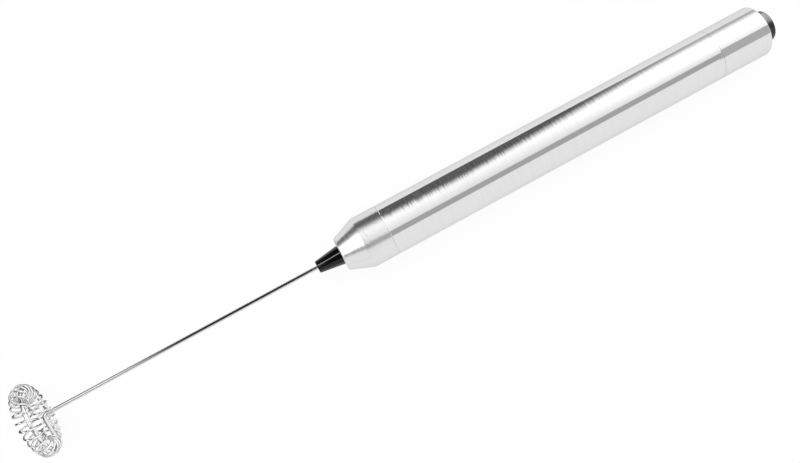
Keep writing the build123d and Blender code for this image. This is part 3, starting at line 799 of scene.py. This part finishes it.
class FROTHER_OT_tail_cap(Operator):
    """Turn the tail cap with its rounded end and spigot"""

    bl_idname = "frother.tail_cap"
    bl_label = "Tail cap"

    def execute(self, context):
        size = context.scene.frother_handle
        seam = TUBE_HIGH.x + size.rear_gap
        rear = CAP_HIGH.x
        front = CAP_LOW.x
        inner_end = rear - size.cap_end_wall
        spigot = HANDLE_R - size.wall - size.thread_play
        root = spigot - size.thread_depth
        mesh = turned("tail_cap_shell", [
            corner(front, size.cap_bore_r),
            corner(inner_end, size.cap_bore_r),
            corner(inner_end, size.cap_hole_r),
            corner(rear, size.cap_hole_r, size.cap_hole_round),
            corner(rear, HANDLE_R, size.cap_end_round),
            corner(seam, HANDLE_R),
            corner(seam, root),
            corner(front, root),
        ])
        new_piece("tail_cap_shell", mesh, "cap", finish("satin_cap"), ["tail_cap"])
        return {"FINISHED"}


class FROTHER_OT_push_button(Operator):
    """Turn the push button with its dome, flange and stem"""

    bl_idname = "frother.push_button"
    bl_label = "Push button"

    def execute(self, context):
        size = context.scene.frother_button
        end = BUTTON_HIGH.x
        roof = end - size.roof
        stem_front = CONTACT_LOW.x + size.tip_gap
        edge = end - size.crown
        dome_r = (size.radius**2 + size.crown**2) / (2 * size.crown)
        dome = []
        for step in range(1, DOME_STEPS):
            radius = (size.radius - size.edge_round) * step / DOME_STEPS
            dome.append(corner(end - dome_r + sqrt(dome_r**2 - radius**2), radius))
        end_wall = context.scene.frother_handle.cap_end_wall
        flange_front = CAP_HIGH.x - end_wall - FLANGE_PLAY - size.flange
        flange_rear = flange_front + size.flange
        mesh = turned("push_button_cap", [
            corner(end, 0.0),
            *dome,
            corner(edge, size.radius, size.edge_round),
            corner(flange_rear, size.radius),
            corner(flange_rear, size.flange_r),
            corner(flange_front, size.flange_r),
            corner(flange_front, size.hollow_r),
            corner(roof, size.hollow_r),
            corner(roof, size.stem_r),
            corner(stem_front, size.stem_r),
            corner(stem_front, 0.0),
        ], closed=False)
        black = finish("black_satin")
        new_piece("push_button_cap", mesh, "button", black, ["push_button"])
        return {"FINISHED"}


class FROTHER_OT_coupling(Operator):
    """Turn the black cone that joins the whisk to the motor shaft"""

    bl_idname = "frother.coupling"
    bl_label = "Coupling"

    def execute(self, context):
        size = context.scene.frother_whisk
        tip = COUPLING_LOW.x
        rear = COUPLING_HIGH.x
        nose_front = NOSE_LOW.x
        wire_hole = size.wire_r + size.seat
        shaft_hole = MOTOR_SHAFT_HIGH.z + size.seat
        wire_end = tip + size.wire_grip + size.seat
        shaft_front = MOTOR_SHAFT_LOW.x - size.seat
        mesh = turned("coupling_cone", [
            corner(wire_end, 0.0),
            corner(wire_end, wire_hole),
            corner(tip, wire_hole, WIRE_HOLE_ROUND),
            corner(tip, size.cone_tip_r, size.cone_tip_round),
            corner(nose_front, size.cone_base_r),
            corner(nose_front + size.collar, size.cone_base_r),
            corner(nose_front + size.collar, size.hub_r),
            corner(rear, size.hub_r),
            corner(rear, shaft_hole),
            corner(shaft_front, shaft_hole),
            corner(shaft_front, 0.0),
        ], closed=False)
        black = finish("black_gloss")
        new_piece("coupling_cone", mesh, "whisk", black, ["shaft_coupling"])
        return {"FINISHED"}


def ring_directions(size):
    """The whisk ring's centre, and its directions along the arm, across it and square to the ring."""
    square = Vector((cos(size.ring_tilt), 0.0, -sin(size.ring_tilt)))
    arm = Vector((
        -sin(size.arm_dip) * sin(size.ring_tilt),
        -cos(size.arm_dip),
        -sin(size.arm_dip) * cos(size.ring_tilt),
    ))
    centre = Vector((size.ring_x, 0.0, 0.0)) + arm * size.ring_offset
    return centre, arm, square.cross(arm), square


def arc_points(centre, start, heading, angle):
    """Points of an arc about a centre that leaves start along heading."""
    spoke = start - centre
    radius = spoke.length
    steps = max(2, round(angle / BEND_STEP))
    points = []
    for step in range(1, steps + 1):
        turn = angle * step / steps
        points.append(centre + spoke * cos(turn) + heading * (radius * sin(turn)))
    return points


def arc_to(start, heading, end):
    """Points of the arc that leaves start along heading and reaches end."""
    chord = end - start
    aside = chord - heading * chord.dot(heading)
    radius = chord.length_squared / (2 * aside.length)
    angle = 2 * atan2(aside.length, chord.dot(heading))
    return arc_points(start + aside.normalized() * radius, start, heading, angle)


def arc_pair(start, start_heading, end, end_heading):
    """Points of two arcs that leave start and reach end along their headings."""
    chord = end - start
    both = start_heading + end_heading
    bend = 2 * (1 - start_heading.dot(end_heading))
    along = chord.dot(both)
    reach = (sqrt(along**2 + bend * chord.length_squared) - along) / bend
    middle_heading = (chord - both * reach).normalized()
    middle = start + (start_heading + middle_heading) * reach
    return arc_to(start, start_heading, middle) + arc_to(middle, middle_heading, end)


class FROTHER_OT_whisk_wire(Operator):
    """Bend one wire into the shaft, the arm and the hoop"""

    bl_idname = "frother.whisk_wire"
    bl_label = "Whisk wire"

    def execute(self, context):
        size = context.scene.frother_whisk
        centre, arm, across, square = ring_directions(size)
        hoop_reach = size.coil_r - size.coil_wire_r - size.wire_r - size.hoop_gap
        hoop_r = size.coil_ring_r + hoop_reach * cos(size.hoop_lean)
        hoop_centre = centre + square * (hoop_reach * sin(size.hoop_lean))
        forward = Vector((-1.0, 0.0, 0.0))
        bend_depth = hoop_r - size.hoop_bend
        shaft_corner = Vector((size.ring_x + size.arm_slant, 0.0, 0.0))
        arm_end = hoop_centre + arm * sqrt(bend_depth**2 - size.hoop_bend**2)
        slant = (arm_end - shaft_corner).normalized()
        setback = size.shaft_bend * tan(forward.angle(slant) / 2)
        bend_start = shaft_corner - forward * setback
        join_angle = asin(size.hoop_bend / bend_depth)
        join = hoop_centre + (arm * cos(join_angle) + across * sin(join_angle)) * hoop_r
        join_heading = across * cos(join_angle) - arm * sin(join_angle)
        points = [Vector((COUPLING_LOW.x + size.wire_grip, 0.0, 0.0)), bend_start]
        points += arc_to(bend_start, forward, shaft_corner + slant * setback)
        points.append(arm_end)
        points += arc_pair(arm_end, slant, join, join_heading)
        points += arc_points(hoop_centre, join, join_heading, size.hoop_end - join_angle)
        mesh = swept("whisk_wire", points, size.wire_r, WIRE_SIDES)
        new_piece("whisk_wire", mesh, "whisk", finish("whisk_wire"), ["whisk_shaft"])
        return {"FINISHED"}


class FROTHER_OT_whisk_coil(Operator):
    """Wind the coil round the hoop"""

    bl_idname = "frother.whisk_coil"
    bl_label = "Whisk coil"

    def execute(self, context):
        size = context.scene.frother_whisk
        centre, arm, across, square = ring_directions(size)
        mesh = grown("whisk_ring_coil", ring_coil_tree(), {
            "Centre": centre, "Arm": arm, "Across": across, "Square": square,
            "Ring radius": size.coil_ring_r, "Coil radius": size.coil_r, "Turns": size.coil_turns,
            "Start": size.coil_start, "End": size.coil_end,
            "Points": size.coil_turns * COIL_STEPS + 1, "Sides": COIL_SIDES,
            "Wire radius": size.coil_wire_r, "Material": finish("coil_wire"),
        })
        new_piece("whisk_ring_coil", mesh, "whisk", None, ["whisk_coil"])
        return {"FINISHED"}


class FROTHER_OT_springs(Operator):
    """Wind the battery spring and the button spring"""

    bl_idname = "frother.springs"
    bl_label = "Springs"

    def execute(self, context):
        size = context.scene.frother_inside
        tree = spring_tree()
        steel = finish("spring_wire")
        mesh = grown("battery_spring_wire", tree, {
            "Start": BATTERY_SPRING_HIGH.x - size.battery_wire_r,
            "End": BATTERY_SPRING_LOW.x + size.battery_wire_r,
            "Start radius": size.battery_base_r, "End radius": size.battery_tip_r,
            "Turns": size.battery_turns, "Points": BATTERY_SPRING_POINTS, "Sides": BATTERY_SPRING_SIDES,
            "Wire radius": size.battery_wire_r, "Material": steel,
        })
        new_piece("battery_spring_wire", mesh, "cap", None, ["battery_spring"])
        front = BUTTON_SPRING_LOW.x
        rear = BUTTON_SPRING_HIGH.x
        mesh = grown("button_spring_wire", tree, {
            "Start": front + size.button_wire_r, "End": rear - size.button_wire_r,
            "Start radius": size.button_r, "End radius": size.button_r,
            "Turns": size.button_turns, "Points": BUTTON_SPRING_POINTS, "Sides": BUTTON_SPRING_SIDES,
            "Wire radius": size.button_wire_r, "Material": steel,
        })
        spring = new_piece("button_spring_wire", mesh, "cap", None, ["button_spring"])
        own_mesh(spring)
        return {"FINISHED"}


class FROTHER_OT_threads(Operator):
    """Cut the cap's screw thread, outside on its spigot and inside the tube"""

    bl_idname = "frother.threads"
    bl_label = "Cap thread"

    def execute(self, context):
        size = context.scene.frother_handle
        rear = TUBE_HIGH.x - size.thread_inset
        front = rear - size.thread_length
        tube_bore = HANDLE_R - size.wall
        turns = size.thread_length / size.thread_pitch - 1
        half_step = size.thread_pitch / 2
        ridges = (
            ("cap_thread", "cap", front, tube_bore - size.thread_play - size.thread_depth),
            ("tube_thread", "handle", front + half_step, tube_bore + size.thread_depth),
        )
        tree = spring_tree()
        for name, body, start, radius in ridges:
            mesh = grown(name, tree, {
                "Start": start, "End": start + turns * size.thread_pitch,
                "Start radius": radius, "End radius": radius, "Turns": turns,
                "Points": round(turns * THREAD_STEPS) + 1, "Sides": THREAD_SIDES,
                "Wire radius": size.thread_depth, "Material": finish("plated"),
            })
            mesh.set_sharp_from_angle(angle=SHARP_ANGLE)
            new_piece(name, mesh, body, None)
        return {"FINISHED"}


class FROTHER_OT_cells(Operator):
    """Turn the two cells, each a can in a film"""

    bl_idname = "frother.cells"
    bl_label = "Cells"

    def execute(self, context):
        size = context.scene.frother_inside
        for node in ("battery_front", "battery_rear"):
            low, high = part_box(node)
            radius = high.z
            can_r = radius - size.cell_film
            shoulder = low.x + size.cell_nub
            end = high.x - size.cell_film
            can = turned(node + "_can", [
                corner(low.x, 0.0),
                corner(low.x, size.cell_nub_r, CELL_NUB_ROUND),
                corner(shoulder + size.cell_film, size.cell_nub_r),
                corner(shoulder + size.cell_film, can_r, size.cell_edge),
                corner(end, can_r, size.cell_edge),
                corner(end, 0.0),
            ], closed=False)
            new_piece(node + "_can", can, "handle", finish("plated"))
            lip_r = radius - size.cell_film_lip
            film = turned(node + "_film", [
                corner(shoulder, lip_r),
                corner(shoulder, radius, size.cell_edge),
                corner(high.x, radius, size.cell_edge),
                corner(high.x, lip_r),
                corner(end, lip_r),
                corner(end, can_r, size.cell_edge - size.cell_film),
                corner(shoulder + size.cell_film, can_r, size.cell_edge - size.cell_film),
                corner(shoulder + size.cell_film, lip_r),
            ])
            new_piece(node + "_film", film, "handle", finish("cell_film"), [node])
        return {"FINISHED"}


INNER_FINISHES = {
    "natural_plastic": ("motor_holder", "motor_end_cap", "contact_carrier", "thrust_washers"),
    "plated": ("motor_can", "motor_shaft", "armature_core"),
    "ferrite": ("motor_magnets",),
    "bronze": ("motor_front_bearing", "motor_rear_bearing"),
    "brass": (
        "motor_brushes", "motor_terminals", "commutator", "front_contact", "return_strip",
        "switch_contact", "switch_ground_ring", "button_contact",
    ),
    "copper": ("armature_windings",),
    "sleeve_plastic": ("battery_sleeve",),
    "grey_plastic": ("switch_housing",),
    "spring_wire": ("retaining_ring",),
}


class FROTHER_OT_inner_finishes(Operator):
    """Give the pieces inside the handle their finishes"""

    bl_idname = "frother.inner_finishes"
    bl_label = "Inner finishes"

    def execute(self, context):
        for name, nodes in INNER_FINISHES.items():
            for node in nodes:
                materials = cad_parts[node].data.materials
                materials.clear()
                materials.append(finish(name))
        return {"FINISHED"}


# Stage


def past(tree, value, edge, soft):
    """Nought before an edge and one past it, with a soft change."""
    return ease(tree, value, edge - soft, edge + soft)


def short_of(tree, value, edge, soft):
    """One before an edge and nought past it, for an edge that moves."""
    return ease(tree, value, calc(tree, "ADD", edge, soft), calc(tree, "SUBTRACT", edge, soft))


def within(tree, value, low, high, soft):
    """One between low and high, and nought outside, with soft edges."""
    fall = ease(tree, value, high - soft, high + soft, 1.0, 0.0)
    return calc(tree, "MULTIPLY", past(tree, value, low, soft), fall)


def between(tree, amount, start, end):
    """A level that goes from start to end with an amount."""
    change = calc(tree, "MULTIPLY", amount, calc(tree, "SUBTRACT", end, start))
    return calc(tree, "ADD", start, change)


# Light that polished metal mirrors, by its direction: the angle round the handle's axis, from overhead
# towards -Y, and the slope along the axis, towards +X. These are its levels
SOFTBOX = 1.4
SOFTBOX_LOW = 0.95
SOFTBOX_FRONT = 1.9
SOFTBOX_TAIL = 1.75
DARK_SIDE = 0.13
DARK_FRONT = 0.22
DARK_RIPPLE = 0.045
DIM_SIDE = 0.3
GAP = 0.47
GAP_FRONT = 0.36
WALL = 1.0
HOOD = 0.02
HOOD_END = 0.126
HOOD_STRIPE = 1.12
HOOD_WALL = 0.62
HOOD_WALL_END = 0.82
# Angles of its edges, how they move, and how soft they are
DARK_EDGE = radians(-43)
DARK_EDGE_NEAR = radians(-64)
DARK_EDGE_FRONT = radians(-56)
DARK_DROP = radians(-32)
DARK_WAVE = radians(7)
DARK_WAVE_FAR = radians(2)
DARK_SOFT = radians(16)
DARK_SOFT_FAR = radians(26)
GAP_START = radians(12.7)
GAP_END = radians(35.2)
GAP_SOFT = radians(1.6)
HOOD_EDGE = radians(38)
HOOD_EDGE_FAR = radians(48)
HOOD_SOFT = radians(4)
STRIPE_START = radians(-50)
STRIPE_END = radians(8)
STRIPE_SOFT = radians(5)
# Slopes at which a change starts and ends
FRONT_SLOPES = (-0.6, -0.7)
FAR_FRONT_SLOPES = (-1.0, -1.1)
DARK_RISE_SLOPES = (-0.1, 0.17)
DARK_DROP_SLOPES = (0.17, 0.45)
DARK_WAVE_SLOPES = (0.15, 0.3)
DARK_SOFT_SLOPES = (0.2, 0.38)
DIM_SLOPES = (0.42, 0.5)
DARK_END_SLOPES = (0.75, 0.85)
SOFTBOX_SLOPES = (0.3, 0.5)
HOOD_FAR_SLOPES = (-0.65, -0.55)
HOOD_NEAR_SLOPES = (-0.03, -0.045)
HOOD_END_SLOPES = (-0.25, -0.37)
HOOD_WALL_SLOPES = (-0.2, -0.4)
HOOD_EDGE_SLOPES = (-0.3, -0.38)
DARK_WAVE_STEP = 0.05
LEAST_REACH = 0.001


def studio_light(tree):
    """What polished metal sees: a softbox, a dark side, a gap, a pale wall and a hood over the whisk."""
    place = add_node(tree, "ShaderNodeTexCoord").outputs["Generated"]
    parts = add_node(tree, "ShaderNodeSeparateXYZ", {"Vector": place})
    x, y, z = (parts.outputs[axis] for axis in "XYZ")
    square = calc(tree, "MULTIPLY_ADD", y, y, calc(tree, "MULTIPLY", z, z))
    slope = calc(tree, "DIVIDE", x, calc(tree, "MAXIMUM", calc(tree, "SQRT", square), LEAST_REACH))
    angle = calc(tree, "ARCTAN2", calc(tree, "MULTIPLY", y, -1.0), z)
    front = ease(tree, slope, *FRONT_SLOPES)
    rise = ramp(tree, slope, *DARK_RISE_SLOPES, DARK_EDGE_NEAR, DARK_EDGE)
    drop = ramp(tree, slope, *DARK_DROP_SLOPES, 0.0, DARK_DROP)
    wave = calc(tree, "SINE", calc(tree, "MULTIPLY", slope, 2 * pi / DARK_WAVE_STEP))
    swing = ramp(tree, slope, *DARK_WAVE_SLOPES, DARK_WAVE, DARK_WAVE_FAR)
    edge = calc(tree, "MULTIPLY_ADD", wave, swing, calc(tree, "ADD", rise, drop))
    edge = between(tree, front, edge, DARK_EDGE_FRONT)
    soft = ramp(tree, slope, *DARK_SOFT_SLOPES, DARK_SOFT, DARK_SOFT_FAR)
    rippled = calc(tree, "MULTIPLY_ADD", wave, DARK_RIPPLE, DARK_SIDE)
    dark = ease(tree, slope, *DIM_SLOPES, rippled, DIM_SIDE)
    dark = between(tree, ease(tree, slope, *DARK_END_SLOPES), dark, WALL)
    dark = between(tree, front, dark, DARK_FRONT)
    bright = ramp(tree, slope, *SOFTBOX_SLOPES, SOFTBOX, SOFTBOX_TAIL)
    softbox = ramp(tree, angle, DARK_EDGE, GAP_START, bright, SOFTBOX_LOW)
    softbox = between(tree, front, softbox, SOFTBOX_FRONT)
    level = between(tree, short_of(tree, angle, edge, soft), softbox, dark)
    gap = between(tree, front, GAP, GAP_FRONT)
    level = between(tree, past(tree, angle, GAP_START, GAP_SOFT), level, gap)
    level = between(tree, past(tree, angle, GAP_END, GAP_SOFT), level, WALL)
    far_front = ramp(tree, angle, GAP_START, GAP_END, SOFTBOX, WALL)
    level = between(tree, ease(tree, slope, *FAR_FRONT_SLOPES), level, far_front)
    hood_start = ease(tree, slope, *HOOD_NEAR_SLOPES)
    under_hood = calc(tree, "MULTIPLY", ease(tree, slope, *HOOD_FAR_SLOPES), hood_start)
    hood_wall = ramp(tree, slope, *HOOD_WALL_SLOPES, HOOD_WALL, HOOD_WALL_END)
    level = calc(tree, "MULTIPLY", level, between(tree, under_hood, 1.0, hood_wall))
    stripe = within(tree, angle, STRIPE_START, STRIPE_END, STRIPE_SOFT)
    hood_end = between(tree, stripe, HOOD_END, HOOD_STRIPE)
    hood = between(tree, ease(tree, slope, *HOOD_END_SLOPES), HOOD, hood_end)
    rim = ramp(tree, slope, *HOOD_EDGE_SLOPES, HOOD_EDGE, HOOD_EDGE_FAR)
    above = short_of(tree, angle, rim, HOOD_SOFT)
    return between(tree, calc(tree, "MULTIPLY", under_hood, above), level, hood)


# Floor, cards and overhead lamp: places, sizes and levels
FLOOR_REACH = 3.0
FLOOR_WHITE = 0.98
FLOOR_ROUGHNESS = 0.9
FLOOR_GLOW = 0.9
BACK_CARD_X = (-350 * MM, 450 * MM)
BACK_CARD_Y = 85 * MM
BACK_CARD_OVER = 1 * MM
BACK_CARD_FRONT = (-100 * MM, -65 * MM)
BACK_CARD_TAIL = (35 * MM, 85 * MM)
BACK_CARD_TAIL_LEVEL = 0.55
CAP_CARD_X = (3.2 * MM, 25 * MM)
CAP_CARD_Y = (-7.6 * MM, -0.5 * MM)
CAP_CARD_OVER = 6 * MM
CAP_CARD_LEVEL = 0.52
FRONT_CARD_AHEAD = 45 * MM
FRONT_CARD_SIDE = 70 * MM
FRONT_CARD_TOP = 28 * MM
FRONT_CARD_LEVEL = 0.06
FLOOR_CARDS = (
    ("whisk_card", -250 * MM, -150 * MM, BACK_CARD_Y),
    ("shaft_card", -150 * MM, -71 * MM, 20 * MM),
)
FLOOR_CARD_NEAR = 6 * MM
FLOOR_CARD_RAISE = 0.5 * MM
FLOOR_CARD_LEVEL = 0.22
LAMP_PLACE = (-0.05, 0.12, 0.6)
LAMP_SIZE = 0.5


def floor_line():
    """The station at which the ring rests on the floor, and the floor's rise from there to the cap."""
    ring_x = (COIL_LOW.x + COIL_HIGH.x) / 2
    cap_x = CAP_HIGH.x - bpy.context.scene.frother_handle.cap_end_round
    return ring_x, (-HANDLE_R - COIL_LOW.z) / (cap_x - ring_x)


def plate(name, spots):
    """An object of one face with four corners."""
    mesh = bpy.data.meshes.new(name)
    mesh.from_pydata(spots, [], [(0, 1, 2, 3)])
    item = bpy.data.objects.new(name, mesh)
    bpy.context.scene.collection.objects.link(item)
    return item


class FROTHER_OT_stage(Operator):
    """Set up the floor, the studio light and the camera"""

    bl_idname = "frother.stage"
    bl_label = "Stage"

    def execute(self, context):
        setting = context.scene.frother_stage
        scene = context.scene
        self.add_floor()
        self.add_cards()
        self.add_strips()
        self.add_light(scene, setting)
        self.add_camera(scene, setting)
        scene.view_settings.view_transform = "Standard"
        return {"FINISHED"}

    def add_floor(self):
        """A white floor that the ring and the cap rest on, and that keeps their shadows."""
        ring_x, rise = floor_line()
        signs = ((-1, -1), (1, -1), (1, 1), (-1, 1))
        floor = plate("floor", [(x * FLOOR_REACH, y * FLOOR_REACH, 0.0) for x, y in signs])
        floor.location = (ring_x, 0.0, COIL_LOW.z)
        floor.rotation_euler = (0.0, -atan2(rise, 1.0), 0.0)
        material, tree, shader = new_material("floor_white")
        set_inputs(tree, shader, {
            "Base Color": (FLOOR_WHITE, FLOOR_WHITE, FLOOR_WHITE, 1.0),
            "Roughness": FLOOR_ROUGHNESS,
            "Specular IOR Level": 0.0,
        })
        path = add_node(tree, "ShaderNodeLightPath").outputs
        seen = calc(tree, "MAXIMUM", path["Is Camera Ray"], path["Is Glossy Ray"])
        seen = calc(tree, "MAXIMUM", seen, path["Is Transmission Ray"])
        glow = add_node(tree, "ShaderNodeEmission").outputs["Emission"]
        layers = (calc(tree, "MULTIPLY", seen, FLOOR_GLOW), shader.outputs["BSDF"], glow)
        mix = add_node(tree, "ShaderNodeMixShader", enumerate(layers))
        put(tree, tree.nodes["Material Output"].inputs["Surface"], mix.outputs["Shader"])
        floor.data.materials.append(material)

    def add_card(self, name, spots, strength):
        """A card that only polished surfaces mirror, with light that may change along X."""
        card = plate(name, spots)
        for ray in ("camera", "diffuse", "transmission", "shadow"):
            setattr(card, "visible_" + ray, False)
        material, tree, shader = new_material(name)
        parts = add_node(tree, "ShaderNodeSeparateXYZ", {"Vector": object_place(tree)})
        set_inputs(tree, shader, {
            "Base Color": (0.0, 0.0, 0.0, 1.0),
            "Specular IOR Level": 0.0,
            "Emission Color": (1.0, 1.0, 1.0, 1.0),
            "Emission Strength": strength(tree, parts.outputs["X"]),
        })
        card.data.materials.append(material)

    def back_card_level(self, tree, x):
        """Dark along the handle, and lighter ahead of the nose and towards the tail."""
        level = ramp(tree, x, *BACK_CARD_FRONT, DARK_FRONT, DARK_SIDE)
        return ramp(tree, x, *BACK_CARD_TAIL, level, BACK_CARD_TAIL_LEVEL)

    def add_cards(self):
        """Cards behind the handle, over the cap, ahead of the whisk, and on the floor behind the wire."""
        low = COIL_LOW.z
        left, right = BACK_CARD_X
        back = BACK_CARD_Y
        high = HANDLE_R + BACK_CARD_OVER
        self.add_card(
            "low_card",
            [(left, back, low), (right, back, low), (right, back, high), (left, back, high)],
            self.back_card_level,
        )
        left, right = (TUBE_HIGH.x + place for place in CAP_CARD_X)
        near, far = CAP_CARD_Y
        over = HANDLE_R + CAP_CARD_OVER
        self.add_card(
            "cap_card",
            [(left, near, over), (left, far, over), (right, far, over), (right, near, over)],
            lambda tree, x: CAP_CARD_LEVEL,
        )
        front = COIL_LOW.x - FRONT_CARD_AHEAD
        side = FRONT_CARD_SIDE
        high = FRONT_CARD_TOP
        self.add_card(
            "front_card",
            [(front, -side, low), (front, side, low), (front, side, high), (front, -side, high)],
            lambda tree, x: FRONT_CARD_LEVEL,
        )
        near = FLOOR_CARD_NEAR
        ring_x, rise = floor_line()
        for name, left, right, far in FLOOR_CARDS:
            left_z, right_z = (low + FLOOR_CARD_RAISE + (x - ring_x) * rise for x in (left, right))
            self.add_card(
                name,
                [(left, near, left_z), (right, near, right_z), (right, far, right_z), (left, far, left_z)],
                lambda tree, x: FLOOR_CARD_LEVEL,
            )

    def add_strip(self, piece, target, slope, angle, distance, sides, radiance):
        """A strip lamp that gives one piece its highlight, its direction given as in studio_light."""
        away = Vector((slope, -sin(angle), cos(angle))).normalized()
        along = (Vector((1.0, 0.0, 0.0)) - away * away.x).normalized()
        lamp = bpy.data.lights.new(piece + "_strip", "AREA")
        lamp.shape = "RECTANGLE"
        lamp.size, lamp.size_y = sides
        lamp.energy = radiance * pi * lamp.size * lamp.size_y
        strip = bpy.data.objects.new(piece + "_strip", lamp)
        turn = Matrix((along, away.cross(along), away)).transposed().to_4x4()
        strip.matrix_world = Matrix.Translation(target + away * distance) @ turn
        bpy.context.scene.collection.objects.link(strip)
        lit = bpy.data.collections.new(piece + "_lit")
        lit.objects.link(bpy.data.objects[piece])
        strip.light_linking.receiver_collection = lit

    def add_strips(self):
        """Highlights of the two black pieces."""
        self.add_strip(
            "coupling_cone", Vector(((COUPLING_LOW.x + NOSE_LOW.x) / 2, 0.0, 0.0)), slope=-0.33,
            angle=radians(-25), distance=300 * MM, sides=(120 * MM, 40 * MM), radiance=9.0,
        )
        self.add_strip(
            "push_button_cap", Vector((BUTTON_HIGH.x, 0.0, 0.0)), slope=0.63,
            angle=radians(-55), distance=60 * MM, sides=(60 * MM, 90 * MM), radiance=7.0,
        )

    def add_light(self, scene, setting):
        """Even light all round, the studio that metal mirrors, and a lamp overhead."""
        world = bpy.data.worlds.new("studio")
        world.use_nodes = True
        scene.world = world
        tree = world.node_tree
        path = add_node(tree, "ShaderNodeLightPath").outputs
        mirrored = calc(tree, "MAXIMUM", path["Is Glossy Ray"], path["Is Transmission Ray"])
        level = between(tree, mirrored, setting.fill, studio_light(tree))
        level = between(tree, path["Is Camera Ray"], level, 1.0)
        backdrop = tree.nodes["Background"]
        set_inputs(tree, backdrop, {"Color": (1.0, 1.0, 1.0, 1.0), "Strength": level})
        lamp = bpy.data.lights.new("overhead", "AREA")
        lamp.energy = setting.key
        lamp.size = LAMP_SIZE
        overhead = bpy.data.objects.new("overhead", lamp)
        overhead.location = LAMP_PLACE
        overhead.rotation_euler = (-atan2(LAMP_PLACE[1], LAMP_PLACE[2]), 0.0, 0.0)
        overhead.visible_glossy = False
        scene.collection.objects.link(overhead)

    def add_camera(self, scene, setting):
        """The camera, which looks down on the handle and is turned against it."""
        roll = setting.camera_roll
        recede = setting.camera_recede
        back = Vector((-sin(recede), 0.0, cos(recede)))
        right = Vector((cos(roll) * cos(recede), -sin(roll), cos(roll) * sin(recede)))
        up = back.cross(right)
        lens = bpy.data.cameras.new("camera")
        lens.lens = setting.camera_lens
        camera = bpy.data.objects.new("camera", lens)
        turn = Matrix((right, up, back)).transposed().to_4x4()
        camera.matrix_world = Matrix.Translation(setting.camera_place) @ turn
        scene.collection.objects.link(camera)
        scene.camera = camera


OPERATORS = [
    FROTHER_OT_tube,
    FROTHER_OT_nose,
    FROTHER_OT_tail_cap,
    FROTHER_OT_push_button,
    FROTHER_OT_coupling,
    FROTHER_OT_whisk_wire,
    FROTHER_OT_whisk_coil,
    FROTHER_OT_springs,
    FROTHER_OT_threads,
    FROTHER_OT_cells,
    FROTHER_OT_inner_finishes,
    FROTHER_OT_stage,
]
GROUPS = {
    "frother_handle": FrotherHandle,
    "frother_button": FrotherButton,
    "frother_whisk": FrotherWhisk,
    "frother_inside": FrotherInside,
    "frother_finish": FrotherFinish,
    "frother_stage": FrotherStage,
}


class FROTHER_PT_panel(Panel):
    """The frother's sizes and steps"""

    bl_idname = "FROTHER_PT_panel"
    bl_label = "Milk frother"
    bl_space_type = "VIEW_3D"
    bl_region_type = "UI"
    bl_category = "Frother"

    def draw(self, context):
        layout = self.layout
        for operator in OPERATORS:
            layout.operator(operator.bl_idname)
        for group in GROUPS:
            settings = getattr(context.scene, group)
            column = layout.column(align=True)
            for label in settings.__annotations__:
                column.prop(settings, label)


def register():
    for group, kind in GROUPS.items():
        bpy.utils.register_class(kind)
        setattr(bpy.types.Scene, group, PointerProperty(type=kind))
    for operator in OPERATORS:
        bpy.utils.register_class(operator)
    bpy.utils.register_class(FROTHER_PT_panel)


def unregister():
    bpy.utils.unregister_class(FROTHER_PT_panel)
    for operator in reversed(OPERATORS):
        bpy.utils.unregister_class(operator)
    for group, kind in reversed(GROUPS.items()):
        delattr(bpy.types.Scene, group)
        bpy.utils.unregister_class(kind)


def main():
    register()
    for operator in OPERATORS:
        group, name = operator.bl_idname.split(".")
        getattr(getattr(bpy.ops, group), name)()


if __name__ == "__main__":
    main()
